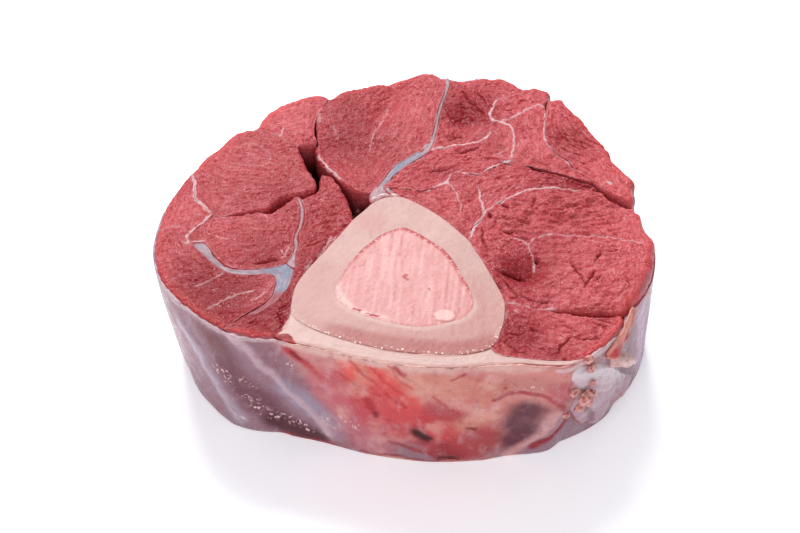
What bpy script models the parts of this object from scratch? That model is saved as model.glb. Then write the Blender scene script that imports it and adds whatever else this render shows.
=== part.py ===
"""A raw slice of beef shank, sawn across the leg: shin bone with its marrow, the muscles round it, and their sheaths.

The plan is drawn in millimetres as a map of the sawn face. Seams are the lines where two pieces meet, each point
being (x, y) or (x, y, gap): gap is how far the two banks stand apart there. A piece's outline is a run of seams,
named in order, counter-clockwise, with a minus sign where a seam is walked backwards.
"""

import math

import bmesh
import bpy
import numpy as np

MM = 0.001

# Driving dimensions, in millimetres
THICKNESS = 38.0
SEAM_GAP = 0.3
SAMPLE_STEP = 3.3
SPINE_STEP = 4.0
WALL_LEVELS = (1.2, 13.0, 25.0)
BASE_BEVEL_SHARE = 0.965
PLAN_MIDDLE = (1.46, 22.2)
MARROW_CLEARANCE = 0.3

# How far the underside stands inside the sawn face, by direction from the middle (degrees, millimetres)
UNDERCUT = (
    (0, 0.5), (60, 2.5), (120, 2.5), (180, 4.0), (204, 4.0), (213, 2.2), (224, 0.6), (270, 0.3), (290, 0.2),
    (301, 2.4), (309, 4.0), (320, 2.2), (330, 0.5), (360, 0.5),
)
UNDERCUT_POWER = 1.4
PLAN_RADIUS = 60.0

# Swells and hollows of the sawn face: x, y, height, spread
SWELLS = (
    (-44, 40, 0.9, 9),
    (-31, 60, 0.5, 7),
    (-17, 47, -1.8, 6),
    (-4, 66, -0.8, 5),
    (5, 62, 1.0, 8),
    (-58, 8, 0.4, 8),
    (-42, 10, 0.5, 8),
    (-21, 14, -1.2, 5),
    (-22, 31, 0.8, 5),
    (20, 62, -1.4, 5),
    (36, 56, 0.8, 6),
    (20, 40, 0.5, 6),
    (50, 52, -0.9, 7),
    (40, 34, 0.7, 7),
    (33, -1, -2.2, 3.5),
    (56, 0, 1.2, 10),
    (45, 20, 0.8, 8),
    (40, -25, -1.0, 10),
)

RIM = {
    "rim_flank": [
        (-58.6, 36.4), (-61, 31.5), (-63.3, 26), (-65, 20), (-65.9, 13), (-66.2, 7), (-65.4, 0.5),
        (-63.6, -4.8), (-60.5, -10), (-55.5, -15.3), (-50.3, -20), (-45.8, -23),
    ],
    "rim_wedge": [(-45.8, -23), (-43.5, -24.1), (-40, -25.1), (-36, -25.7), (-32.5, -25.6)],
    "rim_shin": [
        (-32.5, -25.6), (-30, -27.2), (-26, -28.2), (-21, -29.6), (-15, -31.8), (-8, -33.9), (0, -35.4),
        (8, -36.3), (16, -36.2), (24, -35.4), (32, -34.8), (38, -35.2), (44, -35.1), (46.5, -33.5),
    ],
    "rim_front_right": [(46.5, -33.5), (50.5, -30.6), (54, -27.3), (56.5, -24.3), (58.2, -21), (59, -17.5)],
    "rim_right": [
        (59, -17.5), (61.8, -13), (64.6, -8.5), (66.8, -3.5), (68.2, 1.5), (68.8, 6), (69.1, 10.3),
        (67.6, 13.5), (66.6, 17), (66.2, 21), (64.6, 23.8),
    ],
    "rim_outer_right": [
        (64.6, 23.8), (64.8, 27), (64.4, 30.5), (65.6, 33.6), (63, 38), (60.6, 41), (59.2, 46.5),
        (57.3, 51), (54.6, 56), (52.6, 60.3), (50.5, 63.3), (48.5, 66.3), (46.7, 69.6), (43.8, 69.2),
    ],
    "rim_right_upper": [
        (43.8, 69.2), (43.9, 71.3), (42.5, 73.4), (39.5, 73.8), (36.2, 73.2), (34.5, 75.6), (32, 77.5),
        (28.5, 78.6), (24.5, 79.1), (20, 78.2), (16.5, 77.9), (14.6, 77.7),
    ],
    "rim_fascia": [(14.6, 77.7), (13.2, 78.1)],
    "rim_rear": [
        (13.2, 78.1), (11.5, 79.8), (8.8, 81.3), (6, 80.8), (3, 79.2), (-1.5, 77.8), (-4.8, 75.9),
        (-6.5, 76.2), (-9, 75.6), (-11, 74.2), (-15, 73.8), (-18.2, 72), (-20.2, 69.6),
    ],
    "rim_small_rear": [
        (-20.2, 69.6), (-21.2, 70.8), (-23.5, 71.4), (-27, 70.7), (-31, 68.6), (-35.5, 65.7),
        (-38.8, 62), (-40.7, 58), (-41.2, 55.2),
    ],
    "rim_upper_left": [
        (-41.2, 55.2), (-43.2, 55.6), (-46.2, 54), (-48.8, 52), (-49.6, 49.2), (-51.8, 46.3),
        (-54.8, 43.3), (-56.3, 40), (-58.6, 36.4),
    ],
}

# Edges that face an open pocket between the muscles
POCKET_EDGES = {
    "upper_left_pocket": [
        (-28.8, 27.4), (-26.6, 28.4), (-24.6, 29.3), (-23.5, 31.3), (-24.1, 34.4), (-25.5, 37.8),
        (-26.9, 41.5), (-28.1, 45), (-29.2, 48.4),
    ],
    "small_rear_pocket": [(-29.2, 48.4), (-26.5, 49), (-23.6, 50.4)],
    "rear_pocket": [
        (-23.6, 50.4), (-23.9, 47), (-23, 43.5), (-20.8, 39.8), (-18.5, 36.2), (-16, 32.8),
        (-13.5, 30.4), (-10.5, 29.2), (-8.2, 29.2),
    ],
    "fascia_pocket": [(-8.2, 29.2), (-8.6, 27), (-7.8, 24.4)],
    "wedge_pocket": [
        (-13, 17.8), (-13.6, 22), (-15, 27), (-17.2, 32), (-19.4, 35.7), (-20.8, 37.2), (-22, 36.4),
        (-22.4, 33.5), (-22.3, 31), (-23.6, 28.2), (-25.3, 26.8), (-27.2, 26),
    ],
    "tendon_pocket": [(-28.8, 27.4), (-27.2, 26)],
}

SEAMS = {
    "flank_upper": [(-58.6, 36.4), (-57.3, 33), (-57.3, 29), (-56.5, 26), (-54.2, 23.2), (-51.6, 20)],
    "flank_inner": [(-51.6, 20), (-54, 16.4), (-57, 12.6), (-58, 10.2), (-56.2, 8.4)],
    "flank_tendon": [
        (-56.2, 8.4), (-54.6, 6), (-52.2, 3), (-49.6, 0), (-46.3, -2.4), (-42, -3.3), (-38, -3.2),
        (-35.3, -2.7), (-33.7, -3.6), (-33.3, -6.2), (-33.8, -9.5), (-35, -12.6), (-37.8, -15.4),
        (-41, -18),
    ],
    "tendon_inner": [
        (-56.2, 8.4), (-53.4, 8.8), (-51.6, 6.9), (-50.5, 4.2), (-48, 1.6), (-46, -0.1), (-43, -0.9),
        (-38, -0.8), (-34, -0.2), (-31.5, 0.6), (-29.7, 2.8), (-28.9, 6), (-29, 9), (-29.1, 12),
        (-28.2, 16), (-27.7, 20), (-27.9, 24), (-28.8, 27.4),
    ],
    "tendon_wedge": [
        (-27.2, 26), (-26.3, 23), (-26.1, 20), (-26.5, 16.5), (-27.6, 12.5), (-27.3, 8.5), (-28, 5),
        (-28.1, 0.5), (-28.8, -4.5), (-30.2, -8.7), (-32.5, -12.4), (-35.6, -15.6), (-38.5, -17.9),
        (-41, -18),
    ],
    "flank_wedge": [(-41, -18), (-43.6, -20.7), (-45.8, -23)],
    "upper_inner": [
        (-51.6, 20), (-49, 19.2, 0.5), (-44.5, 20.2, 0.8), (-40, 21.4, 1.0), (-37, 21, 1.4),
        (-35.2, 22.6, 2.0), (-32.6, 25.2, 2.4), (-30.5, 27, 2.0), (-28.8, 27.4, 0.8),
    ],
    "upper_small": [(-41.2, 55.2), (-37, 53.4), (-34, 51.6), (-31.5, 49.9), (-29.2, 48.4)],
    "small_rear": [
        (-20.2, 69.6, 0.8), (-21.6, 66.5, 0.5), (-23.3, 63.5), (-24, 60, 0.5), (-24.2, 56, 0.8),
        (-23.9, 52.8, 0.8), (-23.6, 50.4, 0.6),
    ],
    "rear_fascia": [
        (13.2, 78.1), (13.5, 75.5), (12.9, 71.5), (11.7, 67), (10.6, 61.5), (9.9, 56.5), (9, 52),
        (8, 48), (6, 46), (3, 43.9), (0, 41.6), (-2.2, 39.4), (-3.9, 36), (-5.6, 32.8), (-7, 30.6),
        (-8.2, 29.2),
    ],
    "fascia_mid": [(0.4, 27.1), (-2.6, 28.4), (-4.6, 29.4), (-4.4, 31.4)],
    "fascia_upper": [
        (-4.4, 31.4), (-2.6, 34.2), (-1, 37.3), (1.5, 39.8), (5.5, 43.2), (8, 45.8), (9.2, 48.2),
        (10.1, 52), (10.9, 56.5), (11.6, 61.5), (12.7, 67), (13.9, 71.8), (14.6, 75), (14.6, 77.7),
    ],
    "upper_mid": [
        (-4.4, 31.4), (0, 30.8), (4, 30.3), (8, 30), (9.8, 32.4), (12.8, 33.2), (13.4, 35.4),
        (15.3, 37.2), (19.5, 36.2), (22.6, 36.3), (25, 38.4), (28.5, 40.2), (31.3, 42.3),
        (35, 40.2, 0.6), (39.5, 38, 0.9), (44, 36.2, 0.9), (49.5, 34.2, 0.8), (54.2, 32.2, 0.9),
    ],
    "outer_upper": [
        (54.2, 32.2, 0.9), (52.6, 34.6, 0.5), (50.6, 36.8), (48.6, 39.4), (47, 42.6), (44.3, 45.3),
        (42.3, 49), (41.4, 53.5), (41.7, 58), (42.2, 63, 0.5), (42.4, 67, 0.8), (43.8, 69.2, 0.8),
    ],
    "outer_mid": [(54.2, 32.2, 0.9), (56, 29.9, 1.6)],
    "outer_right": [
        (56, 29.9, 1.6), (58, 27.7, 2.2), (60.3, 26, 2.4), (62.8, 24.6, 2.0), (64.6, 23.8, 1.2),
    ],
    "mid_right": [
        (18.7, 9.6), (19.2, 12.4), (20, 15.3), (22, 17.5), (23, 20.7), (26, 23.8), (30.5, 26.9),
        (35, 29.2), (39, 29.8), (45, 29.6), (50, 29.3), (53.5, 29.6, 0.6), (56, 29.9, 1.6),
    ],
    "right_front": [
        (27.6, -13.5), (30.5, -13.9), (34, -14.7, 0.4), (37.8, -15.8, 0.5), (42, -16.2, 0.9),
        (47, -16.9, 1.6), (52, -17.4, 2.0), (56, -17.8, 1.6), (59, -17.5, 1.0),
    ],
    "front_shin": [
        (23.6, -29.6), (25, -31.6), (29, -32.7), (34, -33.3), (40, -33.7, 0.4), (43.5, -33.8, 0.4),
        (46.5, -33.5),
    ],
    "wedge_shin": [(-28.8, -17.6), (-29.8, -20.6), (-30.7, -22.8), (-31.6, -24.4), (-32.5, -25.6)],
}

# The bone's outer edge, counter-clockwise, one run for each neighbour
BONE_EDGE = {
    "bone_front_right": [(23.6, -29.6), (25.4, -26.5), (26.7, -22.5), (27.5, -18), (27.6, -13.5)],
    "bone_right": [(27.6, -13.5), (26.8, -10.3), (25.3, -6), (23.4, -1.2), (21.3, 4), (18.7, 9.6)],
    "bone_mid": [(18.7, 9.6), (15.5, 14), (11.5, 18.8), (7, 22.8), (3.2, 25.6), (0.4, 27.1)],
    "bone_fascia": [(0.4, 27.1), (-1.8, 27.3), (-4.2, 26.8), (-6.2, 25.8), (-7.8, 24.4)],
    "bone_pocket": [(-7.8, 24.4), (-10, 21.6), (-13, 17.8)],
    "bone_wedge": [
        (-13, 17.8), (-16, 12.6), (-19.5, 7), (-23, 1.5), (-26, -3.4), (-27.9, -8), (-28.6, -12.5),
        (-28.8, -17.6),
    ],
    "bone_shin": [
        (-28.8, -17.6), (-27.2, -19.8), (-24.5, -22), (-20, -24.6), (-15, -26.8), (-10, -28.6),
        (-5, -30.2), (0, -31.2), (6, -32), (12, -32.3), (17, -32), (21, -31), (23.6, -29.6),
    ],
}

MARROW_EDGE = [
    (1, 14.8), (-4, 12.8), (-7, 10), (-10.5, 6), (-13.5, 1), (-16, -5), (-17.4, -9), (-15.5, -13.5),
    (-12, -16.8), (-6, -19.5), (0, -21.5), (6, -22.5), (12, -21), (16, -19.5), (18.5, -17), (19.4, -14),
    (18.5, -9), (16.5, -3.5), (14.5, 1.5), (12, 6), (9, 9), (5, 12.5),
]
VESSEL_FAT_EDGE = [
    (-13.2, 28.5), (-13.8, 26.8), (-12.8, 25.4), (-11, 24.6), (-9.7, 24.6), (-9.5, 26.2), (-9.4, 27.9),
    (-10.8, 28.2),
]

# Each muscle: the seams round it, the spine that its sawn face closes on, how far its shoulder rounds over, its colour
MUSCLES = {
    "flank_muscle": {
        "walk": ["rim_flank", "-flank_wedge", "-flank_tendon", "-flank_inner", "-flank_upper"],
        "spine": [(-58.6, 33), (-61, 25), (-61.3, 12), (-56.5, 0), (-49, -10), (-44.5, -17.5)],
        "round": 1.2, "colour": (0.44, 0.075, 0.085),
    },
    "upper_left_muscle": {
        "walk": ["rim_upper_left", "flank_upper", "upper_inner", "upper_left_pocket", "-upper_small"],
        "spine": [(-50, 38), (-42, 38), (-34, 36)],
        "round": 1.6, "colour": (0.50, 0.11, 0.12),
    },
    "inner_left_muscle": {
        "walk": ["flank_inner", "tendon_inner", "-upper_inner"],
        "spine": [(-50, 12), (-42, 10), (-35, 11)],
        "round": 1.2, "colour": (0.44, 0.085, 0.095),
    },
    "wedge_muscle": {
        "walk": ["rim_wedge", "-wedge_shin", "-bone_wedge", "wedge_pocket", "tendon_wedge", "flank_wedge"],
        "spine": [(-20, 31), (-20.5, 21), (-23, 10), (-26.5, 0), (-29.8, -9), (-32, -16), (-36, -21.5)],
        "round": 1.3, "colour": (0.40, 0.065, 0.075),
    },
    "small_rear_muscle": {
        "walk": ["rim_small_rear", "upper_small", "small_rear_pocket", "-small_rear"],
        "spine": [(-35, 58), (-29, 61), (-25.5, 65)],
        "round": 1.8, "colour": (0.56, 0.12, 0.12),
    },
    "rear_muscle": {
        "walk": ["rim_rear", "small_rear", "rear_pocket", "-rear_fascia"],
        "spine": [(2, 71), (-4, 58), (-9, 45), (-12, 36)],
        "round": 1.8, "colour": (0.50, 0.11, 0.12),
    },
    "right_upper_muscle": {
        "walk": ["rim_right_upper", "-fascia_upper", "upper_mid", "outer_upper"],
        "spine": [(26, 70), (29, 58), (24, 47), (14, 40), (2, 34)],
        "round": 1.2, "colour": (0.47, 0.09, 0.10),
    },
    "right_mid_muscle": {
        "walk": ["-bone_mid", "mid_right", "-outer_mid", "-upper_mid", "-fascia_mid"],
        "spine": [(4, 28), (14, 24), (20, 27), (30, 33.5), (42, 33), (50, 31.8)],
        "round": 1.0, "colour": (0.45, 0.08, 0.09),
    },
    "outer_right_muscle": {
        "walk": ["rim_outer_right", "-outer_upper", "outer_mid", "outer_right"],
        "spine": [(46, 64), (49, 53), (54, 43), (59, 33)],
        "round": 1.8, "colour": (0.42, 0.08, 0.09),
    },
    "right_muscle": {
        "walk": ["rim_right", "-outer_right", "-mid_right", "-bone_right", "right_front"],
        "spine": [(34, 8), (44, 7), (56, 5)],
        "round": 2.4, "colour": (0.50, 0.09, 0.09),
    },
    "front_right_muscle": {
        "walk": ["rim_front_right", "-right_front", "-bone_front_right", "front_shin"],
        "spine": [(34, -23), (43, -25), (50, -24)],
        "round": 1.4, "colour": (0.46, 0.07, 0.08),
    },
}

# Sheaths of one even height: the seams round each, how far below the sawn face it ends, its colour
SHEATHS = {
    "tendon_sheath": {
        "walk": ["flank_tendon", "-tendon_wedge", "-tendon_pocket", "-tendon_inner"],
        "below": 0.3, "colour": (0.52, 0.45, 0.52),
    },
    "rear_sheath": {
        "walk": ["rim_fascia", "rear_fascia", "fascia_pocket", "-bone_fascia", "fascia_mid", "fascia_upper"],
        "below": 0.2, "colour": (0.78, 0.62, 0.62),
    },
    "shin_sheath": {
        "walk": ["rim_shin", "-front_shin", "-bone_shin", "wedge_shin"],
        "below": 0.5, "colour": (0.74, 0.42, 0.38),
    },
}

# Thin layers that stand off the side wall at the front right. Each follows a route round the sawn face's rim,
# whose points are (x, y, top height, bottom height, how far the bottom stands out)
FLAPS = {
    "loose_membrane": {
        "route": [
            (43.5, -35.8, 36.0, 24.0, 0.0), (49, -32.4, 35.0, 9.0, 0.2), (54, -27.6, 29.5, 5.0, 0.3),
            (57.6, -21.5, 21.0, 4.5, 0.3), (60.8, -15.5, 13.0, 4.0, 0.3), (63.4, -10.5, 7.5, 3.5, 0.2),
        ],
        "standoff": 0.6, "thickness": 1.1, "wave": 0.25, "colour": (0.66, 0.58, 0.63),
    },
    "torn_fascia": {
        "route": [
            (53.4, -28.2, 34.5, 32.0, 0.3), (55.6, -25.4, 36.5, 31.5, 0.6), (58.2, -20.8, 37.0, 33.0, 0.3),
            (59.4, -17, 37.4, 33.5, 0.3), (61.0, -14, 37.2, 36.0, 0.2),
        ],
        "standoff": 0.5, "thickness": 1.3, "wave": 0.4, "colour": (0.60, 0.22, 0.16),
    },
}
FLAP_CELLS = (16, 5)

# Scraps of fat on the side wall: rim point, height, distance out from the rim, half sizes round, out and up
SCRAPS = {
    "side_fat_scrap": {"spot": (56.7, -23.1), "height": 28.0, "out": 2.7, "half": (4.0, 2.0, 2.2)},
    "front_fat_scrap": {"spot": (47.5, -33.7), "height": 25.0, "out": 3.7, "half": (2.6, 1.4, 2.2)},
}
SCRAP_COLOUR = (0.78, 0.50, 0.44)


def clear_scene():
    for obj in list(bpy.data.objects):
        bpy.data.objects.remove(obj)


def smooth_run(points, closed=False):
    """Samples a Catmull-Rom curve through points at about SAMPLE_STEP apart, ends kept. Rows are x, y, gap."""
    rows = np.array([(p[0], p[1], p[2] if len(p) > 2 else SEAM_GAP) for p in points], float)
    if closed:
        padded = np.vstack([rows[-1], rows, rows[0], rows[1]])
    else:
        padded = np.vstack([2 * rows[0] - rows[1], rows, 2 * rows[-1] - rows[-2]])
    fine = []
    per_span = 12
    for i in range(1, len(padded) - 2):
        a, b, c, d = padded[i - 1: i + 3]
        for k in range(per_span):
            t = k / per_span
            fine.append(
                0.5 * (2 * b + (c - a) * t + (2 * a - 5 * b + 4 * c - d) * t * t + (3 * b - a - 3 * c + d) * t ** 3)
            )
    fine.append(padded[-2])
    fine = np.array(fine)
    travelled = np.concatenate([[0], np.cumsum(np.linalg.norm(np.diff(fine[:, :2], axis=0), axis=1))])
    count = max(2, round(travelled[-1] / SAMPLE_STEP) + 1)
    wanted = np.linspace(0, travelled[-1], count)
    sampled = np.stack([np.interp(wanted, travelled, fine[:, k]) for k in range(3)], axis=1)
    return sampled[:-1] if closed else sampled


def sampled_plan():
    """Every seam, sampled once, so that both pieces beside it share its points. Rim points have no gap."""
    plan = {name: smooth_run(points) for name, points in {**SEAMS, **BONE_EDGE}.items()}
    for name, points in {**RIM, **POCKET_EDGES}.items():
        run = smooth_run(points)
        run[:, 2] = 0.0
        plan[name] = run
    return plan


def outline(plan, walk):
    """The closed outline of a piece: its seams joined end to end, then drawn in by half of each gap."""
    rows = []
    for step in walk:
        run = plan[step.lstrip("-")]
        run = run[::-1] if step.startswith("-") else run
        if rows:
            rows[-1][2] = max(rows[-1][2], run[0][2])
            run = run[1:]
        rows.extend(row.copy() for row in run)
    rows[0][2] = max(rows[0][2], rows[-1][2])
    rows = np.array(rows[:-1])
    return inset(rows[:, :2], rows[:, 2] / 2)


def inset(points, distance):
    """Moves each corner of a counter-clockwise polygon inwards, so that its two edges move in by distance."""
    edge = np.roll(points, -1, axis=0) - points
    edge /= np.linalg.norm(edge, axis=1)[:, None]
    inward = np.stack([-edge[:, 1], edge[:, 0]], axis=1)
    before = np.roll(inward, 1, axis=0)
    miter = inward + before
    miter /= np.maximum((miter * inward).sum(axis=1), 0.25)[:, None]
    return points + miter * np.reshape(distance, (-1, 1))


def along(points, shares):
    """Points at the given shares of a polyline's length."""
    points = np.asarray(points, float)
    travelled = np.concatenate([[0], np.cumsum(np.linalg.norm(np.diff(points, axis=0), axis=1))])
    wanted = np.asarray(shares) * travelled[-1]
    return np.stack([np.interp(wanted, travelled, points[:, k]) for k in range(2)], axis=1)


def spine_stations(edge, spine):
    """The spine's stations, and for each outline point the number of the station that its ring shrinks to.

    The numbers only rise from the outline point nearest the spine's start to the one nearest its end, and only
    fall on the way back, so that the sawn face closes along the spine without a fold.
    """
    spine = np.asarray(spine, float)
    length = np.linalg.norm(np.diff(spine, axis=0), axis=1).sum()
    count = max(3, round(length / SPINE_STEP) + 1)
    stations = along(spine, np.linspace(0, 1, count))
    nearest = np.linalg.norm(edge[:, None] - stations[None], axis=2).argmin(axis=1)
    first = np.linalg.norm(edge - stations[0], axis=1).argmin()
    last = np.linalg.norm(edge - stations[-1], axis=1).argmin()
    total = len(edge)
    onward = [(first + k) % total for k in range((last - first) % total + 1)]
    back = [(first - k) % total for k in range((first - last) % total + 1)]
    chosen = np.zeros(total, int)
    for side in (onward, back):
        chosen[side] = np.maximum.accumulate(nearest[side])
    chosen[first] = 0
    chosen[last] = count - 1
    return stations, chosen


def face_height(points):
    """Height of the sawn face over each plan point."""
    height = np.full(len(points), THICKNESS)
    for x, y, rise, spread in SWELLS:
        height += rise * np.exp(-((points[:, 0] - x) ** 2 + (points[:, 1] - y) ** 2) / (2 * spread ** 2))
    return height


def placed(points, height):
    """Plan points at a height, drawn in towards the underside by the undercut, in metres about the slice's middle."""
    points = np.asarray(points, float) - PLAN_MIDDLE
    height = np.broadcast_to(np.asarray(height, float), (len(points),))
    angle = np.degrees(np.arctan2(points[:, 1], points[:, 0])) % 360
    bearings = [b for b, _ in UNDERCUT] + [360]
    depths = [d for _, d in UNDERCUT] + [UNDERCUT[0][1]]
    radius = np.maximum(np.linalg.norm(points, axis=1), 1e-6)
    fall = np.clip(1 - height / THICKNESS, 0, 1) ** UNDERCUT_POWER
    drawn_in = np.interp(angle, bearings, depths) * fall * (radius / PLAN_RADIUS) ** 2
    moved = points * (1 - drawn_in / radius)[:, None]
    return np.column_stack([moved, height]) * MM


def add_object(name, rings, colour, roughness=0.4, hole_rings=None, crown=None):
    """A closed solid from rings of equal count, listed from the underside up.

    It is capped flat, round a hole if hole_rings are given, or closed on top along a spine if crown gives the
    spine's points and each ring point's station.
    """
    shape = bmesh.new()
    outer = [[shape.verts.new(p) for p in ring] for ring in rings]
    stack_walls(shape, outer, outwards=True)
    if hole_rings is not None:
        inner = [[shape.verts.new(p) for p in ring] for ring in hole_rings]
        stack_walls(shape, inner, outwards=False)
        for level in (0, -1):
            rims = (outer[level], inner[level])
            edges = [shape.edges.get((rim[i - 1], rim[i])) for rim in rims for i in range(len(rim))]
            bmesh.ops.triangle_fill(shape, edges=edges, use_beauty=True, use_dissolve=False)
    else:
        shape.faces.new(outer[0][::-1])
        if crown is None:
            shape.faces.new(outer[-1])
        else:
            close_on_spine(shape, outer[-1], *crown)
    finish_object(name, shape, colour, roughness)


def close_on_spine(shape, ring, stations, chosen):
    spine = [shape.verts.new(p) for p in stations]
    for i in range(len(ring)):
        start, end = chosen[i - 1], chosen[i]
        step = 1 if start > end else -1
        walk = [spine[k] for k in range(end, start + step, step)]
        shape.faces.new([ring[i - 1], ring[i], *walk])


def finish_object(name, shape, colour, roughness):
    bmesh.ops.triangulate(shape, faces=shape.faces[:])
    bmesh.ops.recalc_face_normals(shape, faces=shape.faces[:])
    mesh = bpy.data.meshes.new(name)
    shape.to_mesh(mesh)
    shape.free()
    mesh.shade_smooth()
    mesh.set_sharp_from_angle(angle=math.radians(40))
    obj = bpy.data.objects.new(name, mesh)
    bpy.context.scene.collection.objects.link(obj)
    obj.data.materials.append(make_material(name, colour, roughness))


def stack_walls(shape, rings, outwards):
    for lower, upper in zip(rings, rings[1:]):
        for i in range(len(lower)):
            corners = (lower[i - 1], lower[i], upper[i], upper[i - 1])
            shape.faces.new(corners if outwards else corners[::-1])


def make_material(name, colour, roughness):
    material = bpy.data.materials.new(name)
    material.use_nodes = True
    shader = material.node_tree.nodes["Principled BSDF"]
    shader.inputs["Base Color"].default_value = (*colour, 1)
    shader.inputs["Roughness"].default_value = roughness
    shader.inputs["Metallic"].default_value = 0.0
    return material


def add_muscle(plan, name, facts):
    """A muscle: walls from the underside to a rounded shoulder, then its sawn face, ring by ring, to its spine."""
    edge = outline(plan, facts["walk"])
    stations, chosen = spine_stations(edge, facts["spine"])
    targets = stations[chosen]
    rings = [placed(targets + (edge - targets) * BASE_BEVEL_SHARE, 0.0)]
    rings += [placed(edge, level) for level in WALL_LEVELS]
    for share, drop in ((1.0, 1.0), (0.95, 0.3), (0.82, 0.0), (0.4, 0.0)):
        ring = targets + (edge - targets) * share
        rings.append(placed(ring, face_height(ring) - drop * facts["round"]))
    crown = (placed(stations, face_height(stations)), chosen)
    add_object(name, rings, facts["colour"], crown=crown)


def add_sheath(plan, name, facts):
    """A sheath or the like: an upright wall of even height, seen edge-on in the sawn face."""
    edge = outline(plan, facts["walk"])
    levels = (0.0, *WALL_LEVELS, THICKNESS - facts["below"])
    add_object(name, [placed(edge, level) for level in levels], facts["colour"], roughness=0.3)


def add_bone(plan):
    """The shin bone's hard ring and the marrow in it, both sawn flat at top and bottom."""
    edge = outline(plan, list(BONE_EDGE))
    marrow = smooth_run(MARROW_EDGE, closed=True)[:, :2]
    hole = inset(marrow, -MARROW_CLEARANCE)
    levels = (0.0, *WALL_LEVELS, THICKNESS)
    add_object(
        "bone", [placed(edge, level) for level in levels], (0.80, 0.57, 0.52), roughness=0.45,
        hole_rings=[placed(hole, level) for level in levels],
    )
    marrow_levels = (0.0, *WALL_LEVELS, THICKNESS - 0.2)
    add_object("marrow", [placed(marrow, level) for level in marrow_levels], (0.86, 0.52, 0.50), roughness=0.5)


def add_vessel_fat():
    """The small plug of fatty tissue sunk in the pocket behind the bone."""
    edge = smooth_run(VESSEL_FAT_EDGE, closed=True)[:, :2]
    middle = edge.mean(axis=0)
    shoulder = middle + (edge - middle) * 0.7
    rings = [placed(edge, level) for level in (0.0, *WALL_LEVELS, THICKNESS - 4.5)]
    rings.append(placed(shoulder, THICKNESS - 3.4))
    add_object("vessel_fat", rings, (0.45, 0.28, 0.30))


def rim_outward(route, share):
    """Unit vectors that point straight out of the side wall, at shares of a route round the rim."""
    ahead = along(route, np.clip(share + 0.02, 0, 1)) - along(route, np.clip(share - 0.02, 0, 1))
    outward = np.stack([ahead[:, 1], -ahead[:, 0]], axis=1)
    return outward / np.linalg.norm(outward, axis=1)[:, None]


def pushed(points, outward, distance):
    """Points in metres, moved level by a distance in millimetres along plan directions."""
    return points + np.column_stack([outward * distance[:, None], np.zeros(len(points))]) * MM


def add_flap(name, facts):
    """A thin wavy layer just off the side wall: two grids, inner and outer, joined round their border."""
    columns, rows = FLAP_CELLS
    across, down = np.meshgrid(np.linspace(0, 1, columns + 1), np.linspace(0, 1, rows + 1), indexing="ij")
    across, down = across.ravel(), down.ravel()
    route = np.array(facts["route"])
    stations = np.linspace(0, 1, len(route))
    top, bottom, flare = (np.interp(across, stations, route[:, k]) for k in (2, 3, 4))
    spot = np.stack([np.interp(across, stations, route[:, k]) for k in (0, 1)], axis=1)
    outward = rim_outward(route[:, :2], across)
    ripple = facts["wave"] * (1 + np.sin(across * 19 + down * 5)) * (0.3 + 0.7 * down)
    bare = placed(spot, top + (bottom - top) * down)
    near = pushed(bare, outward, facts["standoff"] + ripple + flare * down ** 1.5)
    far = pushed(near, outward, facts["thickness"] * (0.5 + 0.5 * np.sin(np.pi * across)))
    shape = bmesh.new()
    sides = []
    for points in (near, far):
        corners = [shape.verts.new(p) for p in points]
        sides.append([corners[i * (rows + 1): (i + 1) * (rows + 1)] for i in range(columns + 1)])
        for i in range(columns):
            for j in range(rows):
                grid = sides[-1]
                shape.faces.new((grid[i][j], grid[i + 1][j], grid[i + 1][j + 1], grid[i][j + 1]))
    back, front = sides
    border = [(i, 0) for i in range(columns)] + [(columns, j) for j in range(rows)]
    border += [(i, rows) for i in range(columns, 0, -1)] + [(0, j) for j in range(rows, 0, -1)]
    for (i, j), (k, m) in zip(border, border[1:] + border[:1]):
        shape.faces.new((back[i][j], back[k][m], front[k][m], front[i][j]))
    finish_object(name, shape, facts["colour"], roughness=0.3)


def add_scrap(name, facts):
    """A scrap of fat: a lumpy ellipsoid beside the wall, its long side along the rim."""
    spot = np.array([facts["spot"]])
    outward = (spot - PLAN_MIDDLE) / np.linalg.norm(spot - PLAN_MIDDLE)
    middle = pushed(placed(spot, facts["height"]), outward, np.array([facts["out"]]))[0]
    turn = math.atan2(outward[0, 1], outward[0, 0]) - math.pi / 2
    shape = bmesh.new()
    bmesh.ops.create_icosphere(shape, subdivisions=2, radius=1)
    for vert in shape.verts:
        x, y, z = vert.co
        lump = 0.86 + 0.14 * math.sin(5 * x + 2 * z) * math.cos(4 * y - 3 * z)
        round_rim, out, up = (c * h * lump * MM for c, h in zip((x, y, z), facts["half"]))
        vert.co = (
            middle[0] + round_rim * math.cos(turn) - out * math.sin(turn),
            middle[1] + round_rim * math.sin(turn) + out * math.cos(turn),
            middle[2] + up,
        )
    finish_object(name, shape, SCRAP_COLOUR, roughness=0.35)


def main():
    clear_scene()
    plan = sampled_plan()
    for name, facts in MUSCLES.items():
        add_muscle(plan, name, facts)
    for name, facts in SHEATHS.items():
        add_sheath(plan, name, facts)
    add_bone(plan)
    add_vessel_fat()
    for name, facts in FLAPS.items():
        add_flap(name, facts)
    for name, facts in SCRAPS.items():
        add_scrap(name, facts)


main()
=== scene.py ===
"""A raw slice of beef shank on a pale table: marrow bone, muscles, white sheaths and the membrane round
them."""
import math

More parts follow.
